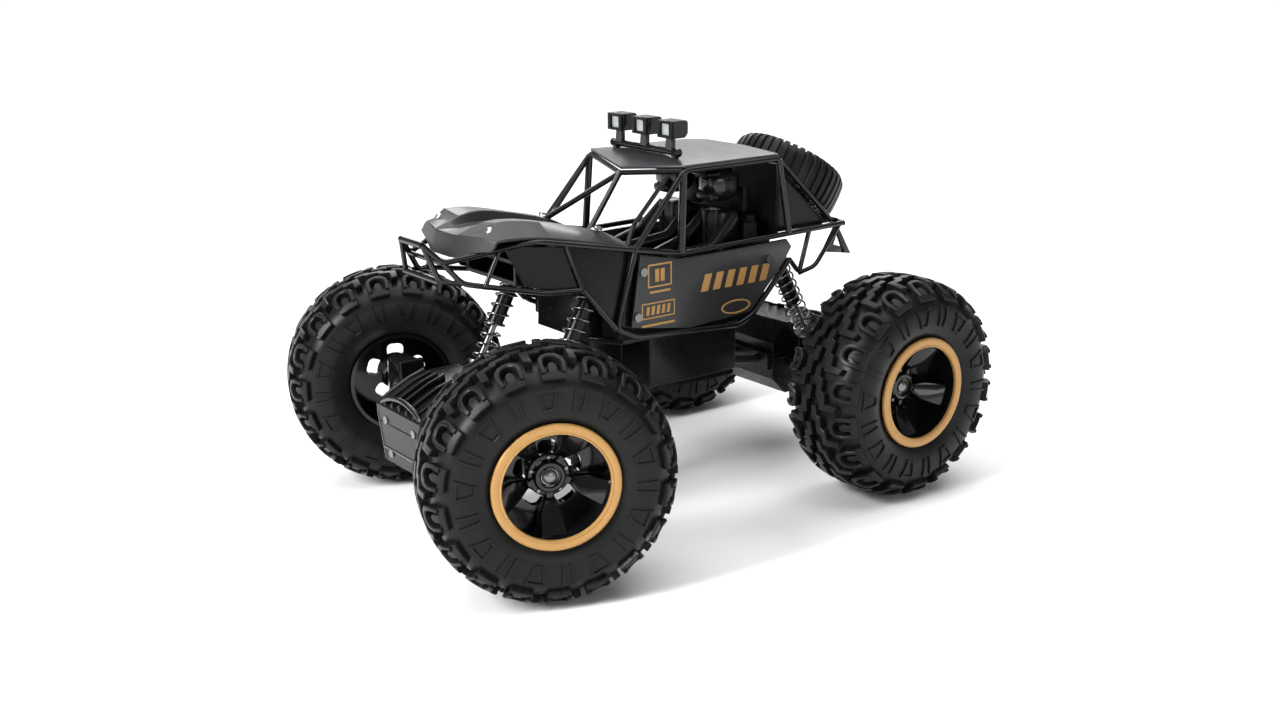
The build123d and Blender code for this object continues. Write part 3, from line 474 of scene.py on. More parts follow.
# ---------------------------------------------------------------- tyres
class TyreWall:
    """A tyre's outer wall as a smooth line of (radius, offset), measured along it from the tread's middle."""

    def __init__(self, knots):
        self.tread_radius = knots[0][0]
        knots = [(knots[1][0], -knots[1][1]), *knots]
        self.line = []
        steps = 4
        for a, b, c, d in zip(knots, knots[1:], knots[2:], knots[3:]):
            for step in range(steps):
                self.line.append(tuple(self.ease(a[i], b[i], c[i], d[i], step / steps) for i in (0, 1)))
        self.line.append(knots[-2])
        self.reach = [0.0]
        for start, end in zip(self.line, self.line[1:]):
            self.reach.append(self.reach[-1] + math.dist(start, end))

    @staticmethod
    def ease(a, b, c, d, t):
        """One span of a smooth curve through four values."""
        slope, curve, twist = c - a, 2 * a - 5 * b + 4 * c - d, 3 * b - a - 3 * c + d
        return 0.5 * (2 * b + slope * t + curve * t * t + twist * t ** 3)

    def at(self, distance, height):
        """Radius and offset of a point this far along the wall and this high above it."""
        far = min(abs(distance), self.reach[-1] - 1e-6)
        i = next(k for k in range(len(self.reach) - 1) if self.reach[k + 1] > far)
        share = (far - self.reach[i]) / (self.reach[i + 1] - self.reach[i])
        (r0, o0), (r1, o1) = self.line[i], self.line[i + 1]
        along = Vector((r1 - r0, o1 - o0)).normalized()
        radius = r0 + (r1 - r0) * share + along.y * height
        offset = o0 + (o1 - o0) * share - along.x * height
        return radius, math.copysign(offset, distance)

    def distance_at(self, radius):
        """How far along the wall this radius is."""
        i = next(k for k in range(len(self.line) - 1) if self.line[k + 1][0] <= radius)
        r0, r1 = self.line[i][0], self.line[i + 1][0]
        return self.reach[i] + (self.reach[i + 1] - self.reach[i]) * (r0 - radius) / (r0 - r1)

    def wrap(self, target, tile, angle, side):
        """Bend a copy of a flat tile, u round the tyre and v out from its middle, on to the wall."""
        bent = tile.copy()
        for vert in bent.verts:
            u, v, w = (value / MM for value in vert.co)
            radius, offset = self.at(v, w)
            turn = angle + u / self.tread_radius
            vert.co = (radius * MM * math.cos(turn), radius * MM * math.sin(turn), side * offset * MM)
        absorb(target, bent)


def absorb(target, part):
    """Move a bmesh's geometry into another one."""
    spare = bpy.data.meshes.new("spare")
    part.to_mesh(spare)
    part.free()
    target.from_mesh(spare)
    bpy.data.meshes.remove(spare)


def add_tile_block(tile, outline, height, chamfer=0.35, floor=-0.6):
    """A raised block on a flat tile, with a chamfered top; its foot is sunk below the wall."""
    face = tile.faces.new([tile.verts.new((u * MM, v * MM, floor * MM)) for u, v in outline])
    face.normal_update()
    if face.normal.z < 0:
        face.normal_flip()
    made = bmesh.ops.extrude_face_region(tile, geom=[face])
    bmesh.ops.translate(tile, verts=points_of(made), vec=(0, 0, (height - chamfer - floor) * MM))
    top = [item for item in made["geom"] if isinstance(item, bmesh.types.BMFace)]
    bmesh.ops.inset_region(tile, faces=top, thickness=chamfer * MM, depth=chamfer * MM)


def slice_tile(tile, axis, step, reach):
    """Cut a flat tile across every few millimetres, so that it bends smoothly."""
    normal = [1.0 if index == axis else 0.0 for index in range(3)]
    for count in range(-int(reach / step), int(reach / step) + 1):
        where = [count * step * MM if index == axis else 0.0 for index in range(3)]
        geom = tile.verts[:] + tile.edges[:] + tile.faces[:]
        bmesh.ops.bisect_plane(tile, geom=geom, plane_co=where, plane_no=normal)


STEPPED_BLOCK = [(-8.0, 0.5), (-2.2, 0.5), (-1.2, 2.6), (3.8, 2.6), (4.8, 4.8), (9.6, 4.8), (9.6, 12.4),
                 (6.7, 13.4), (6.7, 7.8), (2.6, 7.4), (1.6, 5.4), (-3.2, 5.4), (-4.2, 3.4), (-8.0, 3.4)]
HORSESHOE = [(-4.8, 18.6), (-5.1, 14.8), (-4.4, 11.8), (-2.7, 10.0), (0.0, 9.4), (2.7, 10.0), (4.4, 11.8),
             (5.1, 14.8), (4.8, 18.6), (3.1, 18.6), (3.3, 15.0), (2.8, 13.0), (1.6, 11.8), (0.0, 11.5),
             (-1.6, 11.8), (-2.8, 13.0), (-3.3, 15.0), (-3.1, 18.6)]
TONGUE = [(-1.8, 18.4), (-1.9, 15.6), (-1.1, 13.9), (0.0, 13.5), (1.1, 13.9), (1.9, 15.6), (1.8, 18.4)]
LUG_TIP = [(-5.2, 18.0), (5.2, 18.0), (4.9, 20.6), (-4.9, 20.6)]


def tread_tile(height):
    """One pitch of one side's tread: a stepped bar, a horseshoe, its tongue and its square tip."""
    tile = bmesh.new()
    add_tile_block(tile, STEPPED_BLOCK, height)
    add_tile_block(tile, HORSESHOE, height)
    add_tile_block(tile, TONGUE, height * 0.62)
    add_tile_block(tile, LUG_TIP, height * 0.72)
    slice_tile(tile, 1, 2.5, 23)
    slice_tile(tile, 0, 4.0, 9)
    return tile


def relief_tile(wall, bars, height):
    """Raised lines on the sidewall; each bar is a start and an end in (u, radius)."""
    tile = bmesh.new()
    for (u0, r0), (u1, r1), width in bars:
        start, end = (u0, wall.distance_at(r0)), (u1, wall.distance_at(r1))
        add_tile_block(tile, bar_outline(start, end, width), height, 0.15, -0.4)
    slice_tile(tile, 1, 1.6, 36)
    return tile


def bar_outline(start, end, width):
    """The corners of a narrow bar between two flat points."""
    along = (Vector(end) - Vector(start)).normalized() * width / 2
    across = Vector((-along.y, along.x))
    corners = (Vector(start) - along - across, Vector(end) + along - across,
               Vector(end) + along + across, Vector(start) - along + across)
    return [tuple(corner) for corner in corners]


WHEEL_WALL = [(46.7, 0.0), (46.6, 6.0), (45.9, 11.5), (44.4, 15.6), (42.2, 18.4), (39.4, 20.3),
              (36.0, 21.1), (32.0, 21.1), (28.4, 20.1), (25.6, 18.5), (23.2, 16.8), (22.0, 15.0)]
WHEEL_LINING = [(23.2, 13.5), (26.5, 16.0), (33.0, 18.2), (40.0, 16.4), (44.0, 12.0), (44.6, 4.0)]
LOOP = [((-2.4, 31.2), (-4.4, 38.6), 1.0), ((2.4, 31.2), (4.4, 38.6), 1.0),
        ((-2.4, 31.4), (2.4, 31.4), 1.0), ((-4.4, 38.4), (4.4, 38.4), 1.0)]
PAIR = [((-2.3, 31.4), (-2.6, 38.6), 1.3), ((2.3, 31.4), (2.6, 38.6), 1.3)]


def add_tyre_wall(bm, wall, lining, steps):
    """The hollow wall of a tyre, spun round its axis."""
    half = wall.line + lining
    add_spin(bm, half + [(radius, -offset) for radius, offset in reversed(half)], steps)


def wheel_tyre(lugs, lug_height, relief):
    """A whole balloon tyre with its tread and the raised shapes of its sidewalls."""
    wall = TyreWall(WHEEL_WALL)
    bm = bmesh.new()
    add_tyre_wall(bm, wall, WHEEL_LINING, 144)
    tread = tread_tile(lug_height / MM)
    marks = [relief_tile(wall, bars, relief / MM) for bars in (LOOP, PAIR)]
    pitch = math.tau / lugs
    for index in range(lugs):
        for side in (1, -1):
            stagger = 0.5 if side < 0 else 0.0
            wall.wrap(bm, tread, (index + stagger) * pitch, side)
            wall.wrap(bm, marks[index % 2], (index + 0.25) * pitch, side)
    for tile in (tread, *marks):
        tile.free()
    recalculate(bm)
    return bm


class CRAWLER_OT_tyres(bpy.types.Operator):
    """Four balloon tyres with their tread and sidewall relief"""

    bl_idname = "crawler.tyres"
    bl_label = "Tyres"

    def execute(self, context):
        chosen = sizes()
        source = wheel_tyre(chosen.lugs, chosen.lug_height, chosen.emboss)
        for name, body, node, place in wheels():
            bm = source.copy()
            lay(bm, place)
            add_piece(f"tyre_detail_{name}", bm, finish_of("rubber"), body, (node,), 32)
        source.free()
        return {"FINISHED"}


SPARE_WALL = [(26.9, 0.0), (26.8, 4.0), (26.3, 7.4), (24.8, 9.3), (22.4, 9.9), (19.0, 9.9),
              (16.0, 9.2), (13.8, 8.0), (13.0, 7.0)]
SPARE_LINING = [(13.8, 6.6), (18.0, 7.8), (23.0, 7.4), (25.0, 4.0)]
SPARE_RIB = [(-1.55, -12.6), (1.0, -12.6), (1.75, -6.0), (1.75, 6.0), (1.0, 12.6), (-1.55, 12.6),
             (-1.2, 6.0), (-1.2, -6.0)]
SPARE_RIBS = 40
SPARE_LEAN = math.radians(33.5)


def spare_place():
    """From the spare wheel's own space to the car's: its axis leans back over the shelf."""
    low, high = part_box("spare_tyre")
    out = Vector((-math.sin(SPARE_LEAN), 0, math.cos(SPARE_LEAN)))
    return wheel_place((low + high) / 2, out, Vector((0, 1, 0)))


class CRAWLER_OT_spare_wheel(bpy.types.Operator):
    """Spare tyre with cross ribs"""

    bl_idname = "crawler.spare_wheel"
    bl_label = "Spare wheel"

    def execute(self, context):
        wall = TyreWall(SPARE_WALL)
        bm = bmesh.new()
        add_tyre_wall(bm, wall, SPARE_LINING, 96)
        tile = bmesh.new()
        add_tile_block(tile, SPARE_RIB, 1.1, 0.3)
        slice_tile(tile, 1, 2.5, 14)
        for index in range(SPARE_RIBS):
            wall.wrap(bm, tile, math.tau * index / SPARE_RIBS, 1)
        tile.free()
        recalculate(bm)
        lay(bm, spare_place())
        add_piece("spare_tyre_detail", bm, finish_of("rubber"), "chassis", ("spare_tyre",), 32)
        return {"FINISHED"}


# ---------------------------------------------------------------- rims
SPOKES = 5
RAMP_FOOT = 8.0


def hub_bmesh():
    """The hub cap with its blocks, and five ramps that rise to the rim's barrel."""
    bm = bmesh.new()
    add_spin(bm, [(8.6, 3.2), (8.6, 4.4), (7.9, 5.0), (6.6, 5.2), (6.3, 7.4), (5.6, 8.0), (4.4, 8.1),
                  (4.2, 7.0), (3.6, 6.8), (3.6, 3.2)], 48)
    for index in range(SPOKES):
        ramp = bmesh.new()
        plan = [(RAMP_FOOT, -1.5), (14.2, -4.3), (21.3, -5.2), (21.3, 5.2), (14.2, 4.3), (RAMP_FOOT, 1.5)]
        foot = [ramp.verts.new((radius * MM, across * MM, 3.2 * MM)) for radius, across in plan]
        face = ramp.faces.new(foot)
        for vert in points_of(bmesh.ops.extrude_face_region(ramp, geom=[face])):
            vert.co.z = (4.9 + max(0.0, vert.co.x / MM - RAMP_FOOT) ** 1.5 * 0.19) * MM
        bmesh.ops.recalc_face_normals(ramp, faces=ramp.faces)
        round_edges(ramp, ramp.edges[:], 0.5)
        rounded_box(ramp, (5.9, -1.5, 4.4), (8.9, 1.5, 7.0), 0.5)
        lay(ramp, Matrix.Rotation(math.tau * (index + 0.5) / SPOKES, 4, "Z"))
        absorb(bm, ramp)
    recalculate(bm)
    return bm


def hub_screw_bmesh():
    """The domed axle screw and the hub bolts round it."""
    bm = bmesh.new()
    add_spin(bm, [(0.0, 8.9), (1.1, 8.8), (2.2, 8.4), (2.9, 7.8), (3.1, 7.1), (0.0, 7.1)], 32, False)
    ring = 7.2 * MM
    for index in range(SPOKES):
        bolt = bmesh.ops.create_cone(bm, cap_ends=True, segments=6, radius1=0.8 * MM, radius2=0.7 * MM,
                                     depth=0.9 * MM)["verts"]
        angle = math.tau * index / SPOKES
        bmesh.ops.translate(bm, verts=bolt, vec=(ring * math.cos(angle), ring * math.sin(angle), 5.4 * MM))
    recalculate(bm)
    return bm


class CRAWLER_OT_rims(bpy.types.Operator):
    """Dished rims with ramps, hub caps and screws"""

    bl_idname = "crawler.rims"
    bl_label = "Rims and hubs"

    def execute(self, context):
        give_finish(finish_of("rim"), "rim_front_left", "rim_front_right", "rear_rims")
        for name, body, _node, place in wheels():
            bm = hub_bmesh()
            lay(bm, place)
            add_piece(f"hub_{name}", bm, finish_of("rim"), body, ())
            bm = hub_screw_bmesh()
            lay(bm, place)
            add_piece(f"hub_screws_{name}", bm, finish_of("dark_steel"), body, ())
        return {"FINISHED"}


class CRAWLER_OT_rings(bpy.types.Operator):
    """Gold beadlock rings with a rolled inner edge"""

    bl_idname = "crawler.rings"
    bl_label = "Rings"

    def execute(self, context):
        outline = [(20.9, 18.95), (25.1, 18.95), (25.1, 19.7), (24.8, 20.15), (24.3, 20.35),
                   (22.2, 20.35), (21.9, 20.2), (21.5, 20.45), (21.1, 20.3), (20.9, 19.8)]
        for name, body, _node, place in wheels():
            bm = bmesh.new()
            add_spin(bm, outline, 96)
            recalculate(bm)
            lay(bm, place)
            node = "rear_rings" if body == "rear_wheels" else f"ring_{name}"
            add_piece(f"ring_detail_{name}", bm, finish_of("gold"), body, (node,), 35)
        return {"FINISHED"}


# ---------------------------------------------------------------- cage
SIDE = 36.0
ROOF_FRONT = (-10.1, 34.6, 150.0)
ROOF_REAR = (-65.0, 33.4, 149.9)
PANEL_FRONT = (17.3, SIDE, 119.4)
SILL = [(27.4, SIDE, 86.6), (16.4, SIDE, 81.6), (-39.9, SIDE, 77.6), (-48.7, SIDE, 80.9),
        (-70.6, SIDE, 103.6)]
TAIL_PLATE = [(-101.1, 117.0), (-111.2, 100.6), (-105.0, 101.7), (-104.6, 104.8), (-101.6, 111.0)]
TAIL_GUSSET = [(-101.6, 111.0), (-99.6, 106.4), (-104.6, 104.8), (-105.0, 101.7), (-92.4, 103.8),
               (-101.1, 117.0)]


def cage_chains(tube):
    """The left cage's tubes."""
    return [
        (tube, [PANEL_FRONT, ROOF_FRONT, ROOF_REAR, (-98, 33.4, 118.6)]),
        (tube, [PANEL_FRONT, *SILL]),
        (tube, [PANEL_FRONT, (-7.4, SIDE, 114.6), (-69.5, SIDE, 115.6), (-106, 34.6, 115.9)]),
        (1.7, [(-9.6, 34.8, 149.5), (-7.4, SIDE, 114.6)]),
        (1.5, [(-65.4, 33.6, 149.6), (-70, SIDE, 115.6)]),
        (1.2, [(44.9, 36.6, 106.4), SILL[0]]),
        (1.15, [(-83.3, 35.5, 115.7), (-76.9, SIDE, 96.2), SILL[-1]]),
        (1.1, [(-103.4, 34.8, 115.8), (-86.9, SIDE, 98.1), (-76.9, SIDE, 96.2)]),
    ]


def front_chains():
    """The left half of the front frame's tubes."""
    top, middle = (103.5, 8.9, 128.3), (97.4, 14.0, 121.0)
    bottom, heel = (99.3, 14.2, 113.6), (91.3, 18.0, 112.4)
    lower = [(84, 24, 111.2), (58, 30, 105.8), (44.9, 36.6, 106.4)]
    return [
        (1.25, [top, middle, (77, 24.5, 125.5), (70, 28.2, 127.2), (62.5, 31.0, 128.0), (17.3, SIDE, 119.4)]),
        (1.2, [middle, heel, *lower]),
        (1.15, [top, bottom, heel]),
        (1.0, [(77, 24.5, 125.5), lower[0]]),
        (1.0, [(50, 32.3, 125.4), lower[2]]),
        (1.0, [lower[1], (58, 19.4, 107.2)]),
    ]


def crossbar(radius, x, half, z):
    """A straight tube from one side of the car to the other."""
    return radius, [(x, -half, z), (x, half, z)]


def cross_chains():
    """The tubes between the two cages: crossbars, and the windshield's struts."""
    chains = [crossbar(1.3, -65, 32.4, 149), crossbar(1.3, -106, 34, 115.9), crossbar(1.2, 16.9, 35, 119.4)]
    apex = (-1.4, 0, 146.0)
    for side in SIDES.values():
        chains.append((1.3, [apex, (28.4, side * 17.6, 125.8)]))
        chains.append((1.0, [(-3.6, side * 30, 146.5), (13.4, side * 29, 128), (20.5, side * 34, 119.4)]))
        chains.append((1.2, [apex, (-10.1, side * 34.2, 149.8)]))
    return chains


class CRAWLER_OT_cage(bpy.types.Operator):
    """Both tube cages with their tail plates, the front frame and the cross tubes"""

    bl_idname = "crawler.cage"
    bl_label = "Cage"

    def execute(self, context):
        tube = sizes().tube / MM
        paint = finish_of("tube")
        for side_name, side in SIDES.items():
            chains = cage_chains(tube)
            if side < 0:
                chains = [(radius, mirrored(points)) for radius, points in chains]
            add_tubes(f"cage_tubes_{side_name}", chains, paint, "chassis", (f"cage_{side_name}",))
            for part_name, outline in (("plate", TAIL_PLATE), ("gusset", TAIL_GUSSET)):
                bm = plane_block(outline, *span(side, 33.9, 35.1))
                add_piece(f"tail_{part_name}_{side_name}", bm, paint, "chassis", ())
        chains = front_chains()
        chains += [(radius, mirrored(points)) for radius, points in front_chains()]
        chains += [crossbar(1.5, 103.5, 8.9, 128.3), crossbar(1.5, 99.3, 14.2, 113.6),
                   crossbar(1.1, 97.4, 14, 121)]
        add_tubes("front_tubes", chains, paint, "chassis", ("front_frame",))
        add_tubes("cross_tubes", cross_chains(), paint, "chassis", ("cage_cross",))
        return {"FINISHED"}


# ---------------------------------------------------------------- body panels
# Each hood station: X, edge half width, ridge half width, then Z of channel, ridge, crown and edge.
HOOD = [
    (88.0, 29.0, 9.0, 130.5, 130.7, 130.6, 129.8),
    (80.4, 29.2, 8.5, 131.0, 133.0, 132.6, 130.1),
    (76.0, 29.4, 9.0, 131.1, 134.6, 136.2, 130.3),
    (70.0, 29.8, 10.5, 131.0, 135.3, 136.3, 130.1),
    (63.0, 30.6, 12.5, 130.4, 135.0, 135.5, 129.6),
    (56.0, 31.4, 14.0, 129.4, 133.9, 134.1, 128.6),
    (44.0, 32.6, 15.0, 127.2, 131.3, 131.2, 126.3),
    (33.0, 33.6, 15.0, 125.0, 128.5, 128.7, 124.0),
    (24.0, 34.2, 15.0, 123.0, 125.6, 126.1, 122.0),
    (17.0, 34.4, 15.0, 120.8, 122.2, 122.8, 120.4),
]


def hood_bmesh():
    """A sheet bent over the stations, with a nose that folds down to the frame."""
    bm = bmesh.new()
    columns = 8
    nose_x, nose_reach, nose_drop = 80.9, 2.4, 9.0
    bmesh.ops.create_grid(bm, x_segments=len(HOOD) - 1, y_segments=columns, size=1.0)
    for vert in bm.verts:
        row = round((1 - vert.co.x) / 2 * (len(HOOD) - 1))
        column = round(vert.co.y * columns / 2)
        x, edge, ridge, z_channel, z_ridge, z_crown, z_edge = HOOD[row]
        across = [0.0, ridge - 2.4, ridge, 21.5, edge][abs(column)]
        height = [z_channel, z_channel, z_ridge, z_crown, z_edge][abs(column)]
        if row == 0:
            x -= max(0.0, across - 8.0) * 0.33
        vert.co = Vector((x, math.copysign(across, column), height)) * MM
    nose = [edge for edge in bm.edges if edge.is_boundary and all(v.co.x > nose_x * MM for v in edge.verts)]
    for vert in points_of(bmesh.ops.extrude_edge_only(bm, edges=nose)):
        share = max(0.0, abs(vert.co.y) / MM - 9.0) / 20.0
        vert.co.x += nose_reach * MM
        vert.co.z -= (nose_drop - 5.6 * share) * MM
    recalculate(bm)
    thicken(bm, 1.4)
    return bm


def thicken(bm, amount):
    """Give an open sheet a wall below it."""
    up = sum((face.normal.z * face.calc_area() for face in bm.faces), 0.0)
    if up < 0:
        bmesh.ops.reverse_faces(bm, faces=bm.faces)
    bmesh.ops.solidify(bm, geom=bm.faces[:], thickness=amount * MM)
    bmesh.ops.recalc_face_normals(bm, faces=bm.faces)


class CRAWLER_OT_hood(bpy.types.Operator):
    """Hood with its two raised sides, and its four screws"""

    bl_idname = "crawler.hood"
    bl_label = "Hood"

    def execute(self, context):
        add_piece("hood_skin", hood_bmesh(), finish_of("panel"), "chassis", ("hood",),
                  24, 0.5 * MM)
        outline = [(0.0, 1.1), (0.9, 1.0), (1.6, 0.6), (1.9, 0.0), (1.9, -1.2), (0.0, -1.2)]
        screws = bmesh.new()
        for x, y, z, lean in ((79.3, 20.5, 133.0, 42.0), (27.0, 20.0, 126.9, 13.0)):
            for side in (1, -1):
                head = bmesh.new()
                add_spin(head, outline, 24, False)
                tilt = Matrix.Rotation(math.radians(lean), 4, "Y")
                lay(head, Matrix.Translation(Vector((x, side * y, z)) * MM) @ tilt)
                absorb(screws, head)
        recalculate(screws)
        add_piece("hood_screws", screws, finish_of("steel"), "chassis", ())
        return {"FINISHED"}


class CRAWLER_OT_roof(bpy.types.Operator):
    """Roof with its folded visor"""

    bl_idname = "crawler.roof"
    bl_label = "Roof"

    def execute(self, context):
        bm = bmesh.new()
        corners = {}
        for side in (1, -1):
            points = ((-10.1, side * 35.2, 152.3), (-65.6, side * 33.8, 152.1),
                      (-16.0, side * 13.0, 154.3), (-63.0, side * 13.0, 154.2))
            corners[side] = [bm.verts.new(Vector(point) * MM) for point in points]
        apex = bm.verts.new(Vector((-1.4, 0, 148.6)) * MM)
        left, right = corners[1], corners[-1]
        for a, b in ((left, right), (right, left)):
            bm.faces.new((a[0], a[1], a[3], a[2]))
        bm.faces.new((left[2], left[3], right[3], right[2]))
        bm.faces.new((apex, left[0], left[2]))
        bm.faces.new((apex, left[2], right[2]))
        bm.faces.new((apex, right[2], right[0]))
        recalculate(bm)
        thicken(bm, 1.3)
        add_piece("roof_skin", bm, finish_of("panel"), "chassis", ("roof_panel",), 20, 0.5 * MM)
        return {"FINISHED"}


PANEL = [(15.4, 117.0), (-7.4, 112.4), (-68.1, 113.4), (-71.3, 109.6), (-65.9, 102.0), (-46.7, 82.8),
         (-11.2, 80.9), (20.3, 86.0)]


def flat_bars(bars, side):
    """Thin raised shapes on a side panel: each a closed outline in X and Z."""
    bm = bmesh.new()
    for outline in bars:
        add_plate(bm, outline, *span(side, 36.95, 37.15))
    recalculate(bm)
    return bm


def rectangle(x0, z0, x1, z1, lean=0.0):
    """A rectangle's corners, its top moved along X by lean."""
    return [(x0, z0), (x1, z0), (x1 + lean, z1), (x0 + lean, z1)]


def frame_bars(x0, z0, x1, z1, width):
    """Four bars round a rectangle."""
    return [rectangle(x0, z0, x1, z0 + width), rectangle(x0, z1 - width, x1, z1),
            rectangle(x0, z0 + width, x0 + width, z1 - width),
            rectangle(x1 - width, z0 + width, x1, z1 - width)]


def stripes():
    """Plain gold shapes: a framed block, slanted bars, a barred box and an empty ellipse."""
    shapes = frame_bars(-1.3, 102.1, 11.6, 112.3, 0.7)
    shapes += [rectangle(2.6, 104.4, 4.8, 110.0), rectangle(5.6, 104.4, 7.8, 110.0)]
    shapes.append(rectangle(-0.6, 99.6, 10.6, 100.6))
    for index in range(6):
        start = -17.5 - index * 6.8
        shapes.append(rectangle(start, 96.2, start - 4.0, 103.8, -2.4))
    shapes += frame_bars(-2.9, 88.6, 15.0, 95.6, 0.6)
    shapes += [rectangle(2.8 * index, 90.2, 1.6 + 2.8 * index, 94.0, -0.6) for index in range(5)]
    shapes.append(rectangle(-2.9, 85.2, 15.0, 86.2))
    steps = 28
    outer, inner = (8.6, 3.2), (7.6, 2.5)
    for index in range(steps):
        a, b = math.tau * index / steps, math.tau * (index + 1) / steps
        corners = ((outer, a), (outer, b), (inner, b), (inner, a))
        shapes.append([(-37.8 + radii[0] * math.cos(angle), 86.6 + radii[1] * math.sin(angle))
                       for radii, angle in corners])
    return shapes


class CRAWLER_OT_side_panels(bpy.types.Operator):
    """Side panels with their plain gold stripes"""

    bl_idname = "crawler.side_panels"
    bl_label = "Side panels"

    def execute(self, context):
        for side_name, side in SIDES.items():
            bm = plane_block(PANEL, *span(side, 35.3, 36.9), 0.35)
            add_piece(f"panel_skin_{side_name}", bm, finish_of("panel"), "chassis",
                      (f"side_panel_{side_name}",))
            add_piece(f"stripes_{side_name}", flat_bars(stripes(), side), finish_of("gold"), "chassis",
                      (), 0)
        return {"FINISHED"}


# ---------------------------------------------------------------- cabin
SEAT_Y = 16.0


def add_ball(bm, centre, radii, squareness=1.0):
    """A ball with its own radius along each axis; a squareness below one makes it boxier."""
    made = bmesh.ops.create_uvsphere(bm, u_segments=28, v_segments=18, radius=1.0)["verts"]
    for vert in made:
        spread = [math.copysign(abs(value) ** squareness, value) for value in vert.co]
        place = [middle + radius * value for middle, radius, value in zip(centre, radii, spread)]
        vert.co = Vector(place) * MM
    return made


def figure_bmesh(middle):
    """A seated doll's suit: chest, hips, straps and collar; its middle is the seat's Y."""
    bm = bmesh.new()
    rounded_box(bm, (-51.0, middle - 8.6, 110.0), (-40.6, middle + 8.6, 127.4), 2.8)
    rounded_box(bm, (-50.4, middle - 6.8, 93.0), (-41.0, middle + 6.8, 111.5), 2.2)
    for side in (1, -1):
        low, high = span(side, 3.2, 5.2, middle)
        rounded_box(bm, (-41.0, low, 107.0), (-39.9, high, 127.0), 0.3)
    rounded_box(bm, (-41.4, middle - 7.0, 104.2), (-39.8, middle + 7.0, 106.6), 0.4)
    rounded_box(bm, (-41.6, middle - 2.2, 103.6), (-39.2, middle + 2.2, 107.4), 0.6)
    return bm


def helmet_bmesh(middle):
    """A boxy full-face helmet with a chin bar, a peak and side plates."""
    bm = bmesh.new()
    add_ball(bm, (-45.4, middle, 139.0), (8.8, 7.7, 8.2), 0.78)
    rounded_box(bm, (-42.0, middle - 5.2, 131.6), (-35.6, middle + 5.2, 135.8), 1.6)
    rounded_box(bm, (-41.0, middle - 6.0, 143.4), (-33.8, middle + 6.0, 144.8), 0.6)
    for side in (1, -1):
        low, high = span(side, 7.2, 8.2, middle)
        rounded_box(bm, (-47.4, low, 136.6), (-42.6, high, 141.4), 0.4)
    return bm


def visor_bmesh(middle):
    """The part of a helmet-shaped shell that covers the face."""
    bm = bmesh.new()
    add_ball(bm, (-44.9, middle, 139.0), (8.9, 7.9, 7.6), 0.78)
    cuts = (((0, 0, 136.4), (0, 0, -1)), ((0, 0, 142.8), (0, 0, 1)), ((-43.6, 0, 0), (-1, 0, 0)))
    for where, normal in cuts:
        bmesh.ops.bisect_plane(bm, geom=bm.verts[:] + bm.edges[:] + bm.faces[:],
                               plane_co=Vector(where) * MM, plane_no=normal, clear_outer=True)
    bmesh.ops.solidify(bm, geom=bm.faces[:], thickness=0.4 * MM)
    bmesh.ops.recalc_face_normals(bm, faces=bm.faces)
    return bm


def limb_chains(middle):
    """A doll's arms, reaching forward, and its legs."""
    limbs = []
    for side in (1, -1):
        limbs.append((2.9, [(-45.6, middle + side * 9.2, 124.4), (-33.0, middle + side * 10.6, 112.6),
                            (-11.0, middle + side * 5.0, 109.0)]))
        limbs.append((3.7, [(-46.0, middle + side * 4.6, 95.0), (-23.0, middle + side * 5.0, 98.0),
                            (-10.0, middle + side * 4.6, 87.4)]))
    return limbs


def seat_bmesh(middle):
    """A seat's side wings, the four pads of its back and its head rest."""
    bm = bmesh.new()
    for side in (1, -1):
        low, high = span(side, 9.8, 12.6, middle)
        rounded_box(bm, (-57.6, low, 90.0), (-49.6, high, 121.6), 1.1)
    for level in range(4):
        rise = level * 7.4
        rounded_box(bm, (-54.6, middle - 9.0, 94.0 + rise), (-52.6, middle + 9.0, 100.4 + rise), 0.9)
    rounded_box(bm, (-58.6, middle - 5.6, 124.8), (-54.8, middle + 5.6, 137.0), 1.4)
    return bm


class CRAWLER_OT_figures(bpy.types.Operator):
    """Two seated dolls with helmets, and the pads of their seats"""

    bl_idname = "crawler.figures"
    bl_label = "Figures and seats"

    def execute(self, context):
        suit = finish_of("black")
        for side_name, side in SIDES.items():
            middle = SEAT_Y * side
            add_piece(f"figure_suit_{side_name}", figure_bmesh(middle), suit, "chassis", ("drivers",))
            add_tubes(f"figure_limbs_{side_name}", limb_chains(middle), suit, "chassis", ())
            add_piece(f"figure_helmet_{side_name}", helmet_bmesh(middle), suit, "chassis", ())
            add_piece(f"figure_visor_{side_name}", visor_bmesh(middle), finish_of("rim"), "chassis", (),
                      40)
            add_piece(f"seat_pads_{side_name}", seat_bmesh(middle), finish_of("matte"), "chassis", ())
        return {"FINISHED"}


class CRAWLER_OT_lamps(bpy.types.Operator):
    """Square lamp bezels with ribbed lenses"""

    bl_idname = "crawler.lamps"
    bl_label = "Lamps"

    def execute(self, context):
        bezels, lenses = bmesh.new(), bmesh.new()
        for middle in (-18.4, 0.0, 18.4):
            rounded_box(lenses, (-13.9, middle - 2.9, 163.2), (-12.9, middle + 2.9, 168.6), 0.4)
            for low_y, high_y, low_z, high_z in ((-5.25, 5.25, 162.1, 163.3), (-5.25, 5.25, 168.5, 169.65),
                                                 (-5.25, -2.9, 163.0, 168.8), (2.9, 5.25, 163.0, 168.8)):
                rounded_box(bezels, (-13.6, middle + low_y, low_z), (-12.0, middle + high_y, high_z), 0.35)
        add_piece("lamp_bezels", bezels, finish_of("matte"), "chassis", ())
        add_piece("lamp_glass", lenses, finish_of("lens"), "chassis", ("lamp_lenses",))
        return {"FINISHED"}


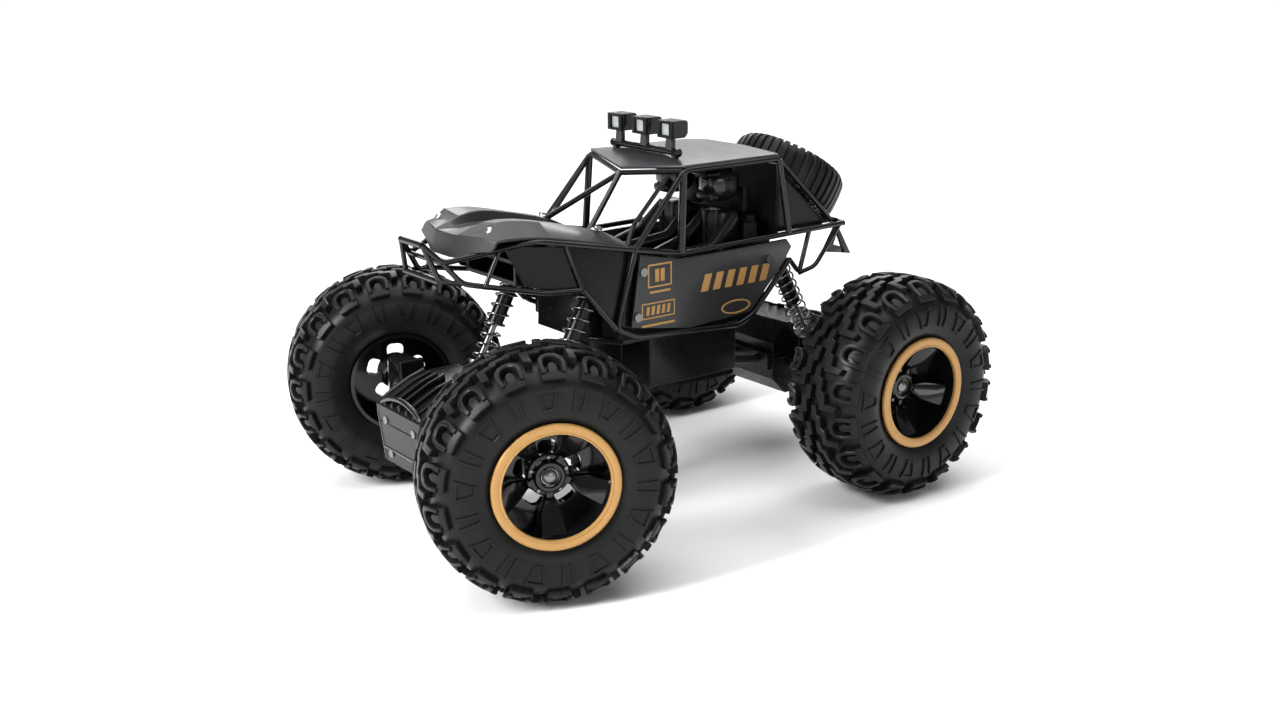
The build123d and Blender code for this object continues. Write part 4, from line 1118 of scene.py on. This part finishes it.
class CRAWLER_OT_fenders(bpy.types.Operator):
    """Dark inner panels between the hood, the frame rails and the side panels"""

    bl_idname = "crawler.fenders"
    bl_label = "Inner fenders"

    def execute(self, context):
        rear_sheet = [(50.5, 30.9, 124.4), (45.0, 35.0, 107.2), (28.6, 34.8, 88.0), (17.0, 34.2, 84.5),
                      (17.6, 33.4, 118.0), (33.0, 32.6, 121.4)]
        front_sheet = [(75.0, 24.0, 126.6), (50.5, 30.6, 124.4), (46.0, 34.6, 107.4), (58.0, 28.6, 106.6),
                       (67.0, 26.0, 109.4)]
        folds = {"rear": (rear_sheet, (33.0, 35.0, 105.0)), "front": (front_sheet, (55.0, 29.6, 112.0))}
        for side_name, side in SIDES.items():
            for part_name, (sheet, fold) in folds.items():
                bm = bmesh.new()
                outline = [bm.verts.new(Vector((x, side * y, z)) * MM) for x, y, z in sheet]
                crease = bm.verts.new(Vector((fold[0], side * fold[1], fold[2])) * MM)
                for first, second in zip(outline, outline[1:] + outline[:1]):
                    bm.faces.new((first, second, crease))
                recalculate(bm)
                bmesh.ops.solidify(bm, geom=bm.faces[:], thickness=0.8 * MM)
                bmesh.ops.recalc_face_normals(bm, faces=bm.faces)
                add_piece(f"inner_fender_{part_name}_{side_name}", bm, finish_of("black"), "chassis", (),
                          20, 0.3 * MM)
        return {"FINISHED"}


# Outlines of the gear housings as distances from the axle. The slope and the rim run along X, then up;
# the arch runs along Y, then up.
AXLE_HEIGHT = 50.0
NOSE_REACH = 31.3
HOUSING_SLOPE = [(30.6, 3.0), (NOSE_REACH, 7.6), (27.0, 10.0), (17.0, 15.0), (9.0, 17.6)]
HOUSING_RIM = [(28.2, -17.6), (31.2, 6.6), (27.0, 10.2), (17.0, 15.2), (9.0, 17.8)]
HOUSING_ARCH = [(-18.2, 6.4), (-14.0, 9.6), (-7.0, 12.0), (0.0, 12.8), (7.0, 12.0), (14.0, 9.6), (18.2, 6.4)]
HOUSING_BOLTS = [(-12.0, 1.5), (12.0, 1.5), (-12.0, -14.0), (12.0, -14.0)]


def housing_ribs(middle_x, facing):
    """Five ribs over a housing's slope, the middle one the highest."""
    ribs = bmesh.new()
    for across in (-12.6, -6.3, 0.0, 6.3, 12.6):
        rise = 3.0 - abs(across) * 0.13
        outline = [(middle_x + facing * dx, AXLE_HEIGHT + dz - 0.8) for dx, dz in HOUSING_SLOPE]
        outline += [(middle_x + facing * (dx + 0.4), AXLE_HEIGHT + dz + rise)
                    for dx, dz in HOUSING_SLOPE[:0:-1]]
        absorb(ribs, plane_block(outline, across - 0.8, across + 0.8, 0.3))
    return ribs


def rim_chains(middle_x, facing):
    """The raised edges of a housing: one down each side, an arch over its nose and a bar below."""
    chains = [(1.3, [(middle_x + facing * dx, side * 18.2, AXLE_HEIGHT + dz) for dx, dz in HOUSING_RIM])
              for side in (1, -1)]
    arch = [(middle_x + facing * 30.4, across, AXLE_HEIGHT + dz) for across, dz in HOUSING_ARCH]
    chains.append((1.2, arch))
    chains.append((1.0, [(middle_x + facing * 29.2, across, AXLE_HEIGHT - 12.0) for across in (-18.0, 18.0)]))
    return chains


def housing_bolts(middle_x, facing):
    """Four bolt heads on a housing's nose."""
    bolts = bmesh.new()
    for across, dz in HOUSING_BOLTS:
        head = bmesh.ops.create_cone(bolts, cap_ends=True, segments=20, radius1=2.0 * MM,
                                     radius2=1.7 * MM, depth=2.4 * MM)["verts"]
        bmesh.ops.rotate(bolts, verts=head, matrix=Matrix.Rotation(facing * math.pi / 2, 3, "Y"))
        place = Vector((middle_x + facing * (30.6 + dz * 0.12), across, AXLE_HEIGHT + dz)) * MM
        bmesh.ops.translate(bolts, verts=head, vec=place)
    recalculate(bolts)
    return bolts


class CRAWLER_OT_axle_trim(bpy.types.Operator):
    """Ribs, rims and bolts on both axles' gear housings"""

    bl_idname = "crawler.axle_trim"
    bl_label = "Axle trim"

    def execute(self, context):
        for axle, facing in (("front", 1), ("rear", -1)):
            low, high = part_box(f"{axle}_axle_lower")
            middle_x = (high.x / MM - NOSE_REACH) if facing > 0 else (low.x / MM + NOSE_REACH)
            body = f"{axle}_axle"
            add_piece(f"{axle}_housing_ribs", housing_ribs(middle_x, facing), finish_of("black"), body, ())
            add_tubes(f"{axle}_housing_rims", rim_chains(middle_x, facing), finish_of("rim"), body, ())
            add_piece(f"{axle}_housing_bolts", housing_bolts(middle_x, facing), finish_of("dark_steel"),
                      body, ())
        return {"FINISHED"}


class CRAWLER_OT_carried_over(bpy.types.Operator):
    """Finishes of the parts whose shape is already right"""

    bl_idname = "crawler.carried_over"
    bl_label = "Carried-over parts"

    def execute(self, context):
        bodies = {node: "chassis" for node in ("chassis_tub", "rear_cover", "engine_bay")}
        for axle in ("front", "rear"):
            bodies |= {f"{axle}_axle_{half}": f"{axle}_axle" for half in ("lower", "upper")}
        rounded_copies(finish_of("black"), bodies, 0.45)
        rounded_copies(finish_of("tube"), {"light_bar": "chassis"}, 0.35)
        give_finish(finish_of("black"), "battery_door", "front_radius_arm", "rear_radius_arm",
                    "knuckle_left", "knuckle_right", "tie_rod")
        give_finish(finish_of("matte"), "cockpit_tub", "spare_rim")
        give_finish(finish_of("dark_steel"), "body_screws")
        give_finish(finish_of("steel"), "front_drive_shaft", "rear_drive_shaft",
                    "stub_axle_left", "stub_axle_right", "front_motor", "rear_motor")
        give_finish(finish_of("gear"), "front_pinion", "rear_pinion")
        give_finish(finish_of("cell"), "battery_cells")
        give_finish(finish_of("board"), "circuit_board")
        give_finish(finish_of("switch"), "switch_knob")
        for axle in ("front", "rear"):
            for side_name in SIDES:
                give_finish(finish_of("black"), f"shock_body_{axle}_{side_name}")
                give_finish(finish_of("dark_steel"), f"shock_rod_{axle}_{side_name}")
                give_finish(finish_of("chrome"), f"spring_{axle}_{side_name}")
        return {"FINISHED"}


# ---------------------------------------------------------------- stage
def soft_light(name, place, aim, size, power):
    """A square soft light aimed at a point."""
    light = bpy.data.lights.new(name, "AREA")
    light.shape = "RECTANGLE"
    light.size, light.size_y = size
    light.energy = power
    lamp = bpy.data.objects.new(name, light)
    bpy.context.scene.collection.objects.link(lamp)
    lamp.location = place
    lamp.rotation_euler = (Vector(aim) - Vector(place)).to_track_quat("-Z", "Y").to_euler()


class CRAWLER_OT_stage(bpy.types.Operator):
    """Pale floor, soft studio light and the camera"""

    bl_idname = "crawler.stage"
    bl_label = "Stage"

    def execute(self, context):
        scene = context.scene
        bm = bmesh.new()
        bmesh.ops.create_circle(bm, cap_ends=True, segments=96, radius=1.3)
        mesh = bpy.data.meshes.new("floor")
        bm.to_mesh(mesh)
        bm.free()
        floor = bpy.data.objects.new("floor", mesh)
        scene.collection.objects.link(floor)
        paper = Finish("Pale floor", roughness=0.9, specular_ior_level=0.1)
        paper.set("Base Color", paper.tint(paper.noise(3.0), (0.86, 0.86, 0.86), (0.9, 0.9, 0.9)))
        mesh.materials.append(paper.material)
        scene.view_settings.view_transform = "Standard"
        world = bpy.data.worlds.new("Studio")
        world.use_nodes = True
        sky = world.node_tree
        background = sky.nodes["Background"]
        heading = sky.nodes.new("ShaderNodeTexCoord")
        split = sky.nodes.new("ShaderNodeSeparateXYZ")
        ramp = sky.nodes.new("ShaderNodeValToRGB")
        Finish.set_stops(ramp.color_ramp, [(0.03, (1, 1, 1, 1)), (0.16, (0.2, 0.2, 0.2, 1))])
        sky.links.new(heading.outputs["Generated"], split.inputs[0])
        sky.links.new(split.outputs["Z"], ramp.inputs["Fac"])
        sky.links.new(ramp.outputs["Color"], background.inputs["Color"])
        background.inputs["Strength"].default_value = 1.05
        scene.world = world
        middle = (0, 0, 0.09)
        soft_light("Key", (1.3, 0.0, 0.85), middle, (0.35, 0.8), 34)
        soft_light("Top", (-0.2, -0.2, 2.4), middle, (3.2, 3.2), 85)
        soft_light("Fill", (0.2, 1.6, 0.5), middle, (1.2, 0.3), 4)
        soft_light("Back", (-0.8, -1.2, 0.75), middle, (1.4, 0.25), 8)
        camera = bpy.data.cameras.new("Camera")
        camera.sensor_width = 36.0
        camera.lens = sizes().lens
        camera.clip_start = 0.01
        holder = bpy.data.objects.new("Camera", camera)
        scene.collection.objects.link(holder)
        right, up = Vector((-0.7987, 0.6017, -0.0089)), Vector((-0.1732, -0.2157, 0.9610))
        back = right.cross(up).normalized()
        turn = Matrix((right, up, back)).transposed()
        holder.matrix_world = Matrix.Translation(Vector((0.38498, 0.52920, 0.24819))) @ turn.to_4x4()
        scene.camera = holder
        return {"FINISHED"}


OPERATORS = [CRAWLER_OT_tyres, CRAWLER_OT_rims, CRAWLER_OT_rings, CRAWLER_OT_spare_wheel, CRAWLER_OT_cage,
             CRAWLER_OT_hood, CRAWLER_OT_roof, CRAWLER_OT_side_panels, CRAWLER_OT_figures, CRAWLER_OT_lamps,
             CRAWLER_OT_fenders, CRAWLER_OT_axle_trim, CRAWLER_OT_carried_over, CRAWLER_OT_stage]


class CRAWLER_PT_panel(bpy.types.Panel):
    """Every piece of the crawler, with its settings"""

    bl_label = "Rock Crawler"
    bl_idname = "CRAWLER_PT_panel"
    bl_space_type = "VIEW_3D"
    bl_region_type = "UI"
    bl_category = "Crawler"

    def draw(self, context):
        layout = self.layout
        for group in (context.scene.crawler_sizes, context.scene.crawler_colours):
            box = layout.box()
            for key in group.__annotations__:
                box.prop(group, key)
        for operator in OPERATORS:
            layout.operator(operator.bl_idname)


CLASSES = [CrawlerSizes, CrawlerColours, *OPERATORS, CRAWLER_PT_panel]


def register():
    """Register the classes and hang the settings on the scene."""
    for cls in CLASSES:
        bpy.utils.register_class(cls)
    bpy.types.Scene.crawler_sizes = bpy.props.PointerProperty(type=CrawlerSizes)
    bpy.types.Scene.crawler_colours = bpy.props.PointerProperty(type=CrawlerColours)


def unregister():
    """Take the settings and the classes away again."""
    del bpy.types.Scene.crawler_colours
    del bpy.types.Scene.crawler_sizes
    for cls in reversed(CLASSES):
        bpy.utils.unregister_class(cls)


def main():
    """Build every piece and the stage."""
    register()
    for operator in OPERATORS:
        group, name = operator.bl_idname.split(".")
        getattr(getattr(bpy.ops, group), name)()


if __name__ == "__main__":
    main()
